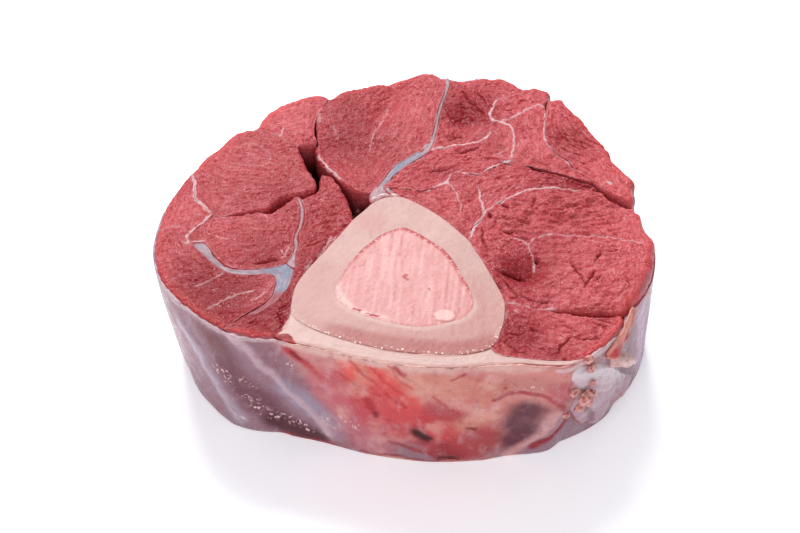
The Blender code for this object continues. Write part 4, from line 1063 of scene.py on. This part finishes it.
# Fat
# Waxy scraps and crumbs of fat that the saw left on the slice, and the plug of darker fat sunk behind the
# bone.
def lump(name, middle, half, turn, slot, material, *nodes, rough=0.22, seed=1, grain_size=1.4,
         steps=(40, 26)):
    """A lumpy scrap: an ellipsoid on a grid of turns and rises, each point moved out or in by noise.

    middle and half are in millimetres, half being the half sizes along its length, its width and upwards,
    and turn the direction of its length.
    """
    around, rises = steps
    a = np.linspace(0, 2 * np.pi, around, endpoint=False)[None, :]
    r = np.linspace(-np.pi / 2, np.pi / 2, rises + 2)[1:-1, None]
    unit = np.stack([np.cos(r) * np.cos(a), np.cos(r) * np.sin(a), np.sin(r) + 0 * a], axis=-1)
    unit = np.concatenate([np.broadcast_to([[[0, 0, -1.0]]], (1, around, 3)), unit,
                           np.broadcast_to([[[0, 0, 1.0]]], (1, around, 3))])
    size = np.array(half)
    x, y, z = np.moveaxis(unit * size / grain_size, -1, 0)
    swell = 1 + rough * cloud(x, y, z, seed=seed)
    c, s = math.cos(math.radians(turn)), math.sin(math.radians(turn))
    points = unit * size * swell[..., None]
    points[0], points[-1] = points[0].mean(axis=0), points[-1].mean(axis=0)
    points = points @ np.array([[c, s, 0], [-s, c, 0], [0, 0, 1]]) + np.array(middle) - (*MIDDLE, 0)
    number = np.arange(points.shape[0] * around).reshape(-1, around)
    number[0], number[-1] = number[0, 0], number[-1, 0]
    ahead = np.roll(number, -1, axis=1)
    quads = np.stack([number[:-1], ahead[:-1], ahead[1:], number[1:]], axis=-1)
    base = np.stack([number[0], ahead[1], number[1]], axis=-1).tolist()
    cap = np.stack([number[-2], ahead[-2], number[-1]], axis=-1).tolist()
    keep = np.unique(number)
    order = np.zeros(points.shape[0] * around, int)
    order[keep] = np.arange(len(keep))
    faces = [[int(order[k]) for k in face] for face in quads[1:-1].reshape(-1, 4).tolist() + base + cap]
    piece = new_piece(name, points.reshape(-1, 3)[keep] * MM, faces)
    paint(piece, blood=np.clip(0.5 + 0.9 * cloud(x, y, z, seed=seed + 4), 0, 1).reshape(-1)[keep])
    finish_piece(piece, material, slot, *nodes)


def fat_material(name, pale, deep, blood):
    """Raw fat of a given pale and deep colour, with blood in patches. It is waxy, so it glows a little
    inside."""
    material, tree, place = new_material(name)
    patch = add_node(tree, "TexNoise", {0: place}, Scale=1 / (1.2 * MM), Detail=3.0).outputs[0]
    fine = add_node(tree, "TexNoise", {0: place}, Scale=1 / (0.4 * MM)).outputs[0]
    colour = coloured(tree, pale, [(patch, 0.35, 0.65, 1.0, deep), ("blood", 0.5, 0.1, 0.8, blood)])
    join_shader(tree, colour, [(fine, 0.1)], 0.2, (1.2, 0.6, 0.48), Roughness=0.36, IOR=1.45)
    return material


pale_fat = fat_material("fat, pale and waxy", "e4cbca", "d6adac", "c98384")
orange_fat = fat_material("fat, stained orange", "dba69f", "cf8d86", "a5303a")
dark_fat = fat_material("fat, soaked with blood", "7d3a3c", "5a2024", "3c0d12")

lump("pocket_fat", (-11.6, 26.2, 26), (2.2, 1.8, 8), 20, "fat", dark_fat, "vessel_fat", seed=71)
lump("corner_fat", (-7.2, 26.4, 37.0), (2.0, 0.9, 1.5), 60, "fat", pale_fat, seed=72)
lump("corner_fat_rear", (-4.6, 28.0, 37.6), (1.9, 0.8, 0.9), 20, "fat", pale_fat, seed=73, steps=(24, 16))
lump("corner_fat_right", (-1.6, 28.0, 37.7), (1.6, 0.6, 0.7), -10, "fat", pale_fat, seed=76, steps=(24, 16))


# The silverskin
# A thin wet skin round the whole wall, cut nearly level with the meat: grey-mauve with bluish streaks on
# the left, pink and orange over the shin at the front, with blood under it, and mauve again on the right
# and behind.
SKIN_STEP = 0.45
SKIN_STROKES = [
    ("cb817a", 1.0, 15.0, [(250, 40), (262, 30), (275, 26), (288, 26), (299, 30)]),
    ("c98272", 0.8, 5.0, [(272, 33), (283, 31), (292, 29)]),
    ("b8787b", 0.7, 4.0, [(247, 36), (252, 33), (256, 30)]),
    ("a3818f", 0.9, 9.0, [(165, 20), (185, 20), (205, 22)]),
    ("bb3c46", 0.9, 7.5, [(252, 24), (262, 15), (275, 16), (284, 9)]),
    ("dc4b44", 0.95, 4.4, [(256, 34), (262, 32), (266, 27), (270, 23)]),
    ("cd7c69", 0.8, 2.4, [(258, 35), (260, 31)]), ("c4464a", 0.85, 6.0, [(263, 24), (272, 18), (278, 14)]),
    ("bd6a74", 0.7, 5.5, [(248, 24), (252, 14), (258, 8), (262, 4)]),
    ("a23a38", 0.85, 5.0, [(282, 5), (288, 7), (294, 9)]),
    ("9c3f46", 0.6, 3.0, [(277, 22), (284, 17), (288, 12)]), ("cc7e68", 0.6, 3.0, [(284, 15), (290, 17)]),
    ("b4726b", 0.7, 3.0, [(293, 31), (298, 31), (303, 30)]),
    ("683743", 0.88, 4.2, [(221.5, 32), (223.5, 26), (226.5, 20), (231, 12), (236, 7), (240, 3), (246, 2)]),
    ("4e1a26", 0.88, 3.2, [(234, 5.4), (240, 3.8), (245.4, 2.6)]),
    ("85606b", 0.8, 3.4, [(229, 37), (234, 32), (237, 27), (240, 23)]),
    ("74383d", 0.7, 2.4, [(218, 34), (221.5, 31)]),
    ("ac98a8", 0.85, 2.3, [(211, 29), (214, 24), (217.6, 18), (221.6, 12), (226, 5)]),
    ("998a9f", 0.85, 3.6, [(237.5, 20), (242, 16), (247, 11.5), (250.5, 7)]),
    ("bb9da8", 0.85, 1.2,
     [(223, 39), (226.4, 36.5), (229.3, 33), (231.7, 28.8), (233.7, 24.4), (236.8, 20.8),
                           (240, 17.6), (243.5, 13), (247, 8.4), (249, 5)]),
    ("8d4c57", 0.6, 1.4, [(203, 14), (210, 8), (219, 3)]),
    ("94606c", 0.6, 1.0, [(205, 30), (210, 22), (215, 14)]),
    ("cfb3ba", 0.7, 0.8, [(160, 37.4), (200, 37.6), (238, 37.2)]),
    ("d6aba3", 0.9, 1.6, [(240, 37.6), (262, 37.8), (282, 37.8), (300, 37)]),
    ("cfb3ba", 0.8, 0.9, [(304, 36.8), (312, 36.6), (322, 36)]),
    ("8c2630", 0.9, 1.0, [(236, 0.6), (243, 0.9), (251, 0.6)]),
    ("a8232f", 0.97, 1.5, [(238.9, 34.7), (241, 33), (243.4, 31)]),
    ("b5424b", 0.85, 1.4, [(243.4, 31), (247.5, 27), (252.3, 23.4)]),
    ("6f0f1a", 0.9, 0.7, [(240, 34), (241.8, 32.6)]),
    ("b42b33", 0.9, 0.5, [(254.5, 36.6), (258, 33.5), (262, 30.5), (266, 25), (270, 22)]),
    ("b42b33", 0.8, 0.45, [(251, 31), (257, 28), (263, 25)]),
    ("bb3838", 0.8, 0.5, [(261, 35.4), (265, 31), (270, 26)]),
    ("bb3838", 0.7, 0.45, [(266, 37), (268, 33), (272, 29)]),
    ("801420", 0.98, 0.9, [(261.9, 18.4), (262.2, 16.8)]),
    ("9f222c", 0.85, 1.2, [(260.2, 22.6), (261, 20)]),
    ("a42c34", 0.95, 1.0, [(267.6, 36.4), (269.4, 34.8)]),
    ("a93a40", 0.8, 0.6, [(277, 27), (280, 23.5), (283, 19.6)]),
    ("9a2a33", 0.9, 0.4, [(284, 36.4), (281.4, 33.4)]), ("7c1520", 0.95, 0.6, [(285.8, 13.8), (288, 13.6)]),
    ("8c1a26", 0.95, 0.4, [(293.5, 29.3), (293.9, 29.1)]), ("8c1f28", 0.85, 3.2, [(279, 6), (282.4, 3)]),
    # The near-black strokes 31080d and 5c0f17 are painted shade in two small holes in the skin, which
    # SKIN_RIDGES dents only a little.
    ("871c26", 0.75, 2.6, [(273, 12.5), (275, 10)]), ("31080d", 0.95, 1.3, [(272.8, 12.4), (275.2, 10.8)]),
    ("5c0f17", 0.9, 1.3, [(279.4, 2.8), (282.8, 2.2)]),
    ("932a30", 0.8, 0.9, [(266, 7), (272, 5.4), (279, 4)]),
    ("5d2d3a", 0.95, 4.2, [(299.4, 19.5), (298, 12), (297.6, 8)]),
    ("992531", 0.9, 0.8, [(292.4, 25.4), (295.6, 27.4), (299, 26.8), (302.4, 26), (305, 22.6),
                          (306.6, 18)]),
    ("b04c58", 0.7, 2.0, [(304.4, 29), (305.6, 24)]),
    ("ca9391", 0.9, 1.5, [(295.8, 1.8), (299.6, 5), (303, 11.4), (305, 18)]),
    ("94202b", 0.95, 0.8, [(301.4, 3.0), (305.4, 7.6), (308.4, 12.6), (309.8, 19)]),
    ("b9646a", 0.8, 1.6, [(306.6, 29), (308.4, 23)]),
    ("c1836f", 0.8, 0.7, [(262, 0.5), (276, 0.5), (292, 0.5)]),
    ("8c2630", 0.8, 0.5, [(258, 2.2), (268, 1.6), (278, 1.2)]),
    ("b0626c", 0.8, 2.6, [(328, 35), (345, 33.5), (359, 32)]),
    ("b691ae", 0.8, 2.8, [(334, 30), (336, 16), (338, 4)]),
    ("ab8ba7", 0.7, 3.0, [(346, 28), (348, 14), (349, 3)]),
    ("8f6e8c", 0.6, 3.0, [(340, 26), (342, 12), (343, 2)]),
    ("a3829f", 0.7, 4.0, [(356, 26), (357, 12), (358, 3)]),
    ("7a2c38", 0.8, 0.9, [(316, 1.0), (330, 0.8), (345, 0.6)]), ("8f4650", 0.6, 6.0, [(20, 14), (34, 18)]),
    ("bda4ab", 0.5, 1.8, [(64, 34), (70, 22), (72, 12), (71, 3)]),
    ("b79aa4", 0.6, 4.0, [(46, 30), (50, 10)]), ("8a4049", 0.6, 6.0, [(84, 24), (98, 18)]),
    ("bda2a8", 0.5, 1.6, [(78, 2), (88, 7), (97, 6), (106, 12)]),
    ("b3969f", 0.6, 3.6, [(108, 30), (112, 12)]), ("8e4650", 0.6, 5.0, [(122, 22), (130, 12)]),
    ("bfa7ad", 0.5, 1.3, [(136, 33), (138, 24), (141, 14), (140, 4)]),
]
SKIN_FLECKS = [
    (1.5, [(222, 21.6), (223.4, 18.8)]), (0.9, [(227.8, 20.4), (229.8, 19.4)]),
    (0.8, [(226, 14.6), (230, 13.6)]),
    (1.3, [(230.4, 10.6), (233.4, 7.8), (237, 7.8), (240.6, 6.6), (243.6, 5.4)]),
    (0.7, [(224, 6), (228, 5)]), (1.0, [(247.4, 11.4), (250.5, 9)]),
    (1.1, [(252.6, 12), (256.6, 10.8), (259.6, 12)]), (0.7, [(236, 30), (239, 29.4)]),
    (0.6, [(284, 22), (289, 21)]), (0.7, [(291.4, 35), (293, 34.2)]), (0.8, [(297, 28.4), (301, 29)]),
]
SKIN_RIDGES = [
    (0.5, 2.2, [(212, 29), (215, 24), (218.5, 18), (222.5, 12), (227, 5)]),
    (0.45, 1.8, [(226.4, 36.5), (229.3, 33), (233.7, 24.4), (236.8, 20.8), (243.5, 13), (249, 5)]),
    (-0.25, 3.5, [(223, 27), (226, 20), (231, 12), (235, 8)]), (-0.3, 1.4, [(272.8, 12.2), (275.4, 10.6)]),
    (-0.35, 1.2, [(279.4, 2.8), (282.8, 2.2)]), (-0.3, 1.5, [(238.9, 34.7), (243.4, 31)]),
    (0.5, 1.4, [(295.8, 2.4), (299.4, 6), (302.8, 12.4), (304.8, 18)]),
    (-0.6, 0.8, [(301.4, 3.4), (305.4, 8), (308.4, 13), (309.8, 19)]),
    (-0.5, 5.0, [(299.2, 22.5), (297.4, 12)]),
    (0.35, 1.0, [(292.4, 26.4), (295.6, 28.6), (299, 28.2), (303.4, 27.4), (306.4, 23), (308, 18)]),
    (0.4, 1.2, [(306.6, 30), (308.8, 22)]), (0.3, 2.6, [(244.5, 15), (247, 11), (250, 7)]),
]


def unrolled(points):
    """Bearing and height as millimetres along the wall and up it, at the slice's mean radius."""
    points = np.asarray(points, float)
    return np.stack([points[..., 0] * math.radians(1) * PLAN_RADIUS, points[..., 1]], axis=-1)


smooth_rim = np.max([np.roll(envelope, k) for k in range(-2, 3)], axis=0)
smooth_rim = np.mean([np.roll(smooth_rim, k) for k in range(-3, 4)], axis=0)
skin_bearing = np.arange(0, 360, 360 / round(2 * np.pi * PLAN_RADIUS / SKIN_STEP))
skin_radius = np.interp(skin_bearing, np.arange(ENVELOPE_STEPS + 1) * 360 / ENVELOPE_STEPS,
                        np.append(smooth_rim, smooth_rim[0]))
skin_top = np.interp(skin_bearing, (0, 12, 60, 140, 160, 200, 232, 240, 300, 312, 326, 335, 350, 360), (
    33.0, 31.5, 31.0, 31.5, 35.5, 37.5, 37.3, 37.8, 37.8, 37.0, 36.2, 34.8, 33.8, 33.0))
a = np.radians(skin_bearing)
skin_top = skin_top + 0.3 * noise(50 * np.cos(a), 50 * np.sin(a), seed=81) + (
    0.9 * ease(36, 33, skin_top) * noise(14 * np.cos(a), 14 * np.sin(a), seed=82))
skin_rows = round(THICKNESS / SKIN_STEP)
share = np.linspace(0, 1, skin_rows)[:, None]
skin_height = 0.3 + (skin_top - 0.3) * share
wide_bearing = np.broadcast_to(skin_bearing, skin_height.shape)
flat = unrolled(np.stack([wide_bearing, skin_height], axis=-1))
u, v = flat[..., 0], flat[..., 1]
drift = flat + np.stack([1.1 * cloud(u / 5, v / 5, seed=83), 1.1 * cloud(u / 5, v / 5, seed=84)], axis=-1)
skin_colour = np.broadcast_to(hex_colour("906c79"), (*skin_height.shape, 4)).copy()
over_shin = ease(243, 252, wide_bearing) * ease(303, 295, wide_bearing)
for code, strength, width, line in SKIN_STROKES:
    line = unrolled(line) if len(line) < 3 else smooth_line(unrolled(line), 1.5)
    away, _ = line_distance(drift, line, 2.2 * width)
    broken = 1 - 0.25 * np.clip(cloud(u / 1.5, v / 1.5, seed=85), 0, 1)
    share_here = strength * ease(1.55 * width, 0.35 * width, away) * broken
    skin_colour += (np.array(hex_colour(code)) - skin_colour) * share_here[..., None]
for code, mottle, most in (
    ("b02831", cloud(u / 6, v / 6, seed=91, octaves=5), 0.40),
    ("dfb0a5", cloud(u / 5, v / 5, seed=96, octaves=5), 0.42),
):
    lit = ease(0.05, 0.2, skin_colour[..., :3].mean(axis=2))
    share_here = most * over_shin * ease(-0.15, 0.7, mottle) * lit
    skin_colour += (np.array(hex_colour(code)) - skin_colour) * share_here[..., None]
fleck = np.zeros(skin_height.shape)
for width, line in SKIN_FLECKS:
    away, _ = line_distance(drift, unrolled(line), 2.2 * width)
    fleck = np.maximum(fleck, ease(2.0 * width, 0.3 * width, away))
relief = 0.16 * cloud(u / 7, v / 16, seed=87) + 0.06 * cloud(u / 1.8, v / 3.0, seed=88) + 0.12 * fleck
for rise, width, line in SKIN_RIDGES:
    line = unrolled(line) if len(line) < 3 else smooth_line(unrolled(line), 1.5)
    away, _ = line_distance(drift, line, 3 * width)
    relief += rise * np.exp(-(away / width) ** 2) * (away < 3 * width)
seam_blend = ease(0, 8, u) * ease(0, 8, u.max() - u)
stand = (0.6 + relief * seam_blend) * ease(-0.02, 0.03, share) ** 0.5


def skin_point(radius, height):
    """Points on the wall: the skin's bearings at these radii and heights, with the slice's lean."""
    a = np.radians(skin_bearing)
    plan = MIDDLE + radius[..., None] * np.stack([np.cos(a), np.sin(a)], axis=-1)
    return placed(plan, height)


outer_side = skin_point(skin_radius + np.maximum(stand, 0.05), skin_height)
lip = skin_point(skin_radius + (stand[-1] - np.array([[0.06], [0.22]])),
                 skin_top + np.array([[0.10], [0.16]]))
inner_side = skin_point(skin_radius - np.full((8, 1), 0.35), skin_top * np.linspace(1, 0.01, 8)[:, None])
skin_stack = np.concatenate([outer_side, lip, inner_side])
silverskin_wrap = closed_mesh("silverskin", skin_stack, hollow=True)
pad = len(skin_stack) - skin_rows
blend = seam_blend[..., None]
skin_colour = skin_colour * blend + np.array(hex_colour("a3717d")) * (1 - blend)
tint = np.concatenate([skin_colour, np.repeat(skin_colour[-1:], pad, axis=0)])
layer = silverskin_wrap.data.attributes.new("tint", "FLOAT_COLOR", "POINT")
layer.data.foreach_set("color", tint.astype(np.float32).ravel())
veil = ease(0.03, 0.16, tint[..., :3].mean(axis=2))
paint(silverskin_wrap, fleck=np.concatenate([fleck, np.zeros((pad, fleck.shape[1]))]), veil=veil)

# Silverskin: wet and smooth, so it shines, and its soft pale streaks are that shine painted on; thin, so the
# meat's colour shows through. Fine threads and a faint mottling break it up.
silverskin, tree, place = new_material("silverskin, wet")
upright = add_node(tree, "Mapping", {0: place}, Scale=(1.0, 1.0, 0.5)).outputs[0]
sheen_streaks = add_node(tree, "TexNoise", {0: upright}, Scale=1 / (2.6 * MM), Detail=4.0).outputs[0]
mottling = add_node(tree, "TexNoise", {0: place}, Scale=1 / (2.2 * MM), Detail=4.0).outputs[0]
threads = add_node(tree, "TexNoise", {0: place}, Scale=1 / (0.5 * MM)).outputs[0]
crumbs = add_node(tree, "TexNoise", {0: place}, Scale=1 / (1.0 * MM), Detail=3.0, Roughness=0.6).outputs[0]
swells = add_node(tree, "TexNoise", {0: upright}, Scale=1 / (1.3 * MM), Detail=3.0).outputs[0]
fine = add_node(tree, "TexNoise", {0: place}, Scale=1 / (0.35 * MM)).outputs[0]
tint = add_node(tree, "Attribute", attribute_name="tint").outputs["Color"]
# The pale upright streaks are painted sheen.
colour = coloured(tree, tint, [
    (sheen_streaks, 0.52, 0.75, 0.25, "cbb0b8", "veil"), (mottling, 0.47, 0.30, 0.25, "8a3440", "veil"),
    (threads, 0.66, 0.74, 0.3, "e0c9cb", "veil"), (crumbs, 0.56, 0.60, 1.0, "d9b4b6", "fleck"),
])
shader = join_shader(
    tree, colour, [(swells, 0.12), (fine, 0.03)], 0.12, (1.2, 0.48, 0.42), IOR=1.42, Specular_IOR_Level=0.3,
)
gloss = add_node(tree, "TexNoise", {0: place}, Scale=1 / (2.5 * MM)).outputs[0]
gloss = add_node(tree, "MapRange", {0: gloss}, interpolation_type="SMOOTHSTEP", _1=0.3, _2=0.7, _3=0.24,
                 _4=0.4)
tree.links.new(gloss.outputs[0], shader.inputs["Roughness"])
finish_piece(silverskin_wrap, silverskin, "membrane")


# The torn layers at the front right
# Where the knife opened the silverskin, a pale sheet of it hangs off the wall and a strip of red fascia has
# come away above it. Both are thin, wet and wrinkled, with frayed edges.
def hanging_layer(name, node, route, standoff, thickness, wave, colours, seed, merge=0.0):
    """A thin sheet beside the wall: a grid along a route round the rim and down from its top to its bottom
    height.

    It stands off by standoff, plus ripples, plus the flare times the square root of the cube of the share
    gone down, and its thickness falls to nearly nothing at its border. Its back is a second grid joined
    round the border. With merge it comes out of the wall along its top and over that first share of its
    route.
    """
    route = smooth_line(np.array(route, float), 0.4)
    share = np.linspace(0, 1, 64)[None, :]
    top, bottom, flare = (route[:, k, None] for k in (2, 3, 4))
    ahead = np.gradient(route[:, :2], axis=0)
    box = np.ones(19) / 19
    smoothed = [np.convolve(np.pad(column, 9, mode="edge"), box, "valid") for column in ahead.T]
    ahead = np.stack(smoothed, axis=1)
    outward = np.stack([ahead[:, 1], -ahead[:, 0]], axis=1)
    outward /= np.linalg.norm(outward, axis=1)[:, None]
    across = np.arange(len(route))[:, None] * 0.4
    fray = 0.9 * noise(across / 2.2, 0.0, seed=seed) + 0.5 * noise(across / 0.7, 0.0, seed=seed + 1)
    height = top + 0.3 * fray + (bottom - top - fray) * share
    height = np.maximum(height, 0.4)
    ripple = wave * (1 + np.sin(across / (0.4 * len(route)) * 19 + share * 5)) * (0.3 + 0.7 * share)
    out = standoff + ripple + flare * share ** 1.5 + 0.35 * cloud(across / 3.5, height / 3.5, seed=seed + 2)
    held = np.ones(height.shape)
    if merge:
        held = ease(0, merge, across / (0.4 * len(route))) * ease(-0.12, 0.2, share)
    out = out * held - 1.0 * (1 - held)
    thin = np.sin(np.pi * np.clip((np.arange(len(route)) + 1) / (len(route) + 1), 0, 1))[:, None] ** 0.4
    thick = thickness * (0.35 + 0.65 * thin * np.sin(np.pi * np.clip(share, 0.02, 0.98)) ** 0.4)
    thick = thick + 0.12 * cloud(across / 1.2, height / 1.2, seed=seed + 3)
    plan = np.broadcast_to(route[:, None, :2], (*height.shape, 2))
    bare = placed(plan, height)
    push = np.concatenate([outward, np.zeros((len(outward), 1))], axis=1)[:, None] * MM
    near, far = bare + push * out[..., None], bare + push * (out + thick)[..., None]
    ring = np.concatenate([far, near[:, ::-1]], axis=1)
    columns, around = ring.shape[:2]
    number = np.arange(columns * around).reshape(columns, around)
    ahead_row = np.roll(number, -1, axis=1)
    quads = np.stack([number[:-1], ahead_row[:-1], ahead_row[1:], number[1:]], axis=-1).reshape(-1, 4)
    piece = new_piece(name, ring, quads.tolist() + [number[0][::-1].tolist(), number[-1].tolist()])
    base, strokes = colours
    onward = np.broadcast_to(across / (0.4 * len(route)), height.shape)
    flat = np.stack([onward, np.broadcast_to(share, height.shape)], axis=-1)
    waver = [cloud(across / 3, height / 3, seed=seed + k) for k in (5, 6)]
    drift = flat + 0.05 * np.stack(waver, axis=-1)
    tint = np.broadcast_to(hex_colour(base), (*height.shape, 4)).copy()
    for code, strength, width, line in strokes:
        away, _ = line_distance(drift, line, 2.2 * width)
        cover = strength * ease(1.5 * width, 0.3 * width, away)
        tint += (np.array(hex_colour(code)) - tint) * cover[..., None]
    layer = piece.data.attributes.new("tint", "FLOAT_COLOR", "POINT")
    both = np.concatenate([tint, tint[:, ::-1]], axis=1)
    layer.data.foreach_set("color", both.astype(np.float32).ravel())
    paint(piece, fleck=np.zeros(ring.shape[:2]), veil=np.ones(ring.shape[:2]))
    finish_piece(piece, silverskin, "membrane", node)


hanging_layer(
    "hanging_silverskin", "loose_membrane",
    [(43.5, -35.8, 34.0, 24.0, 0.0), (49, -32.4, 31.0, 9.0, 0.2), (54, -27.6, 26.5, 4.5, 0.3),
     (57.6, -21.5, 20.0, 4.0, 0.3), (60.8, -15.5, 13.0, 3.5, 0.3), (63.4, -10.5, 7.5, 3.0, 0.2)],
    0.4, 0.6, 0.35,
    ("b4929f", [("c2a5b1", 0.8, 0.12, [(0.3, 0.6), (0.55, 0.5), (0.8, 0.5)]),
                ("7d5563", 0.8, 0.05, [(0.24, 0.6), (0.36, 0.9)]),
                ("8b3944", 0.9, 0.05, [(0.0, 0.95), (0.3, 0.99)]),
                ("c08d95", 0.8, 0.08, [(0.55, 0.95), (0.9, 0.9)])]),
    91, merge=0.2,
)
hanging_layer(
    "hanging_silverskin_top", "loose_membrane",
    [(40.5, -35.9, 36.4, 30.0, 0.0), (45.5, -35.3, 35.8, 25.0, 0.8), (49, -32.4, 34.4, 22.5, 1.2),
     (54, -27.6, 29.8, 19.8, 1.5),
     (57.6, -21.5, 21.6, 16.4, 1.6), (60.2, -16.8, 14.2, 12.8, 1.3)],
    0.6, 0.45, 0.2,
    ("cbb5be", [("d6c6cd", 0.9, 0.2, [(0.35, 0.2), (0.65, 0.3), (0.9, 0.5)]),
                ("b4949f", 0.6, 0.08, [(0.3, 0.75), (0.6, 0.8)]),
                ("c98f8c", 0.7, 0.05, [(0.3, 0.98), (0.6, 0.98)]),
                ("a8545c", 0.7, 0.05, [(0.12, 0.5), (0.2, 0.95)])]),
    93, merge=0.35,
)
hanging_layer(
    "torn_strip", "torn_fascia",
    [(53.4, -28.2, 34.5, 32.0, 0.3), (55.6, -25.4, 36.5, 31.5, 0.6), (58.2, -20.8, 37.0, 33.0, 0.3),
     (59.4, -17, 37.4, 33.5, 0.3), (61.0, -14, 37.2, 36.0, 0.2)],
    0.5, 1.1, 0.4,
    ("d88578", [("e09c90", 0.8, 0.14, [(0.45, 0.1), (0.95, 0.1)]),
                ("b4323b", 0.95, 0.28, [(0.0, 0.5), (0.3, 0.7)])]),
    92,
)
lump("side_fat", (57.4, -24.6, 27.8), (4.6, 2.0, 2.0), -6, "fat", pale_fat, "side_fat_scrap", rough=0.3,
     seed=74)
CRUMBS = (
    ((48.6, -32.8, 36.6), (1.5, 1.0, 1.2), 30), ((49.9, -32.9, 33.6), (1.4, 0.9, 1.4), 60),
    ((50.3, -33.2, 28.2), (1.1, 0.7, 1.0), 20), ((45.6, -35.6, 27.0), (1.6, 0.9, 1.1), 30),
    ((50.6, -33.6, 24.2), (1.3, 0.9, 1.1), 50), ((47.2, -35.8, 21.2), (1.6, 0.9, 1.0), 40),
    ((49.8, -33.8, 20.8), (1.1, 0.8, 0.9), 10), ((43.6, -37.0, 19.6), (0.9, 0.6, 0.8), 15),
)
for k, (spot, half, turn) in enumerate(CRUMBS):
    lump("crumb_" + str(k + 1), spot, half, turn, "fat", orange_fat, rough=0.4, seed=30 + k, grain_size=0.7,
         steps=(26, 16))
lump("front_fat", (48.8, -35.5, 25.0), (2.6, 1.4, 2.2), 40, "fat", orange_fat, "front_fat_scrap",
     rough=0.45, seed=75, grain_size=0.8)


# The studio
# A white table without an edge, lit from all round by a bright tent, with one broad lamp from behind on the
# left, so the shadow is faint and falls to the front right. The camera looks down on the slice from 45
# degrees.
CAMERA_PITCH = math.radians(45)
CAMERA_DISTANCE = 0.5914
CAMERA_LENS = 99.0

# The table: smooth white laminate with a soft sheen. It glows a little, as a table lit from below does, so
# it stays white without the slice being lit too brightly.
laminate, tree, place = new_material("white table, laminate")
shades = add_node(tree, "TexNoise", {0: place}, Scale=1 / (60 * MM)).outputs[0]
shader = tree.nodes["Principled BSDF"]
tree.links.new(coloured(tree, "f5f4f6", [(shades, 0.3, 0.7, 1.0, "f7f7f8")]), shader.inputs["Base Color"])
shader.inputs["Roughness"].default_value = 0.3
shader.inputs["Emission Color"].default_value = hex_colour("f0f2fc")
shader.inputs["Emission Strength"].default_value = 0.38
table_mesh = bpy.data.meshes.new("table_top")
table_mesh.from_pydata([(-2, -2, 0), (2, -2, 0), (2, 2, 0), (-2, 2, 0)], [], [(0, 1, 2, 3)])
table_top = bpy.data.objects.new("table_top", table_mesh)
bpy.context.scene.collection.objects.link(table_top)
table_mesh.materials.append(laminate)

world = bpy.data.worlds.new("bright tent")
world.use_nodes = True
world.node_tree.nodes["Background"].inputs["Color"].default_value = (1.0, 1.0, 1.0, 1.0)
world.node_tree.nodes["Background"].inputs["Strength"].default_value = 0.45
bpy.context.scene.world = world


def add_lamp(name, size, power, spot, aim):
    """A square soft box of a size in metres, at a spot, turned to face aim."""
    lamp = bpy.data.lights.new(name, "AREA")
    lamp.size = size
    lamp.energy = power
    holder = bpy.data.objects.new(name, lamp)
    holder.location = spot
    away = np.array(spot) - np.array(aim)
    flat = math.hypot(away[0], away[1])
    holder.rotation_euler = (math.atan2(flat, away[2]), 0, math.atan2(away[0], -away[1]))
    bpy.context.scene.collection.objects.link(holder)


add_lamp("broad_lamp", 0.5, 12.0, (-0.15, 0.75, 0.8), (0, 0, 0.03))
add_lamp("front_lamp", 0.8, 5.0, (-0.3, -1.0, 0.6), (0, 0, 0.02))

lens = bpy.data.cameras.new("camera")
lens.lens = CAMERA_LENS
lens.sensor_width = 36.0
lens.clip_start = 0.01
camera = bpy.data.objects.new("camera", lens)
camera.location = (
    -MIDDLE[0] * MM,
    -MIDDLE[1] * MM - CAMERA_DISTANCE * math.cos(CAMERA_PITCH),
    THICKNESS * MM + CAMERA_DISTANCE * math.sin(CAMERA_PITCH),
)
camera.rotation_euler = (math.pi / 2 - CAMERA_PITCH, 0, 0)
bpy.context.scene.collection.objects.link(camera)
bpy.context.scene.camera = camera
bpy.context.scene.view_settings.view_transform = "Standard"
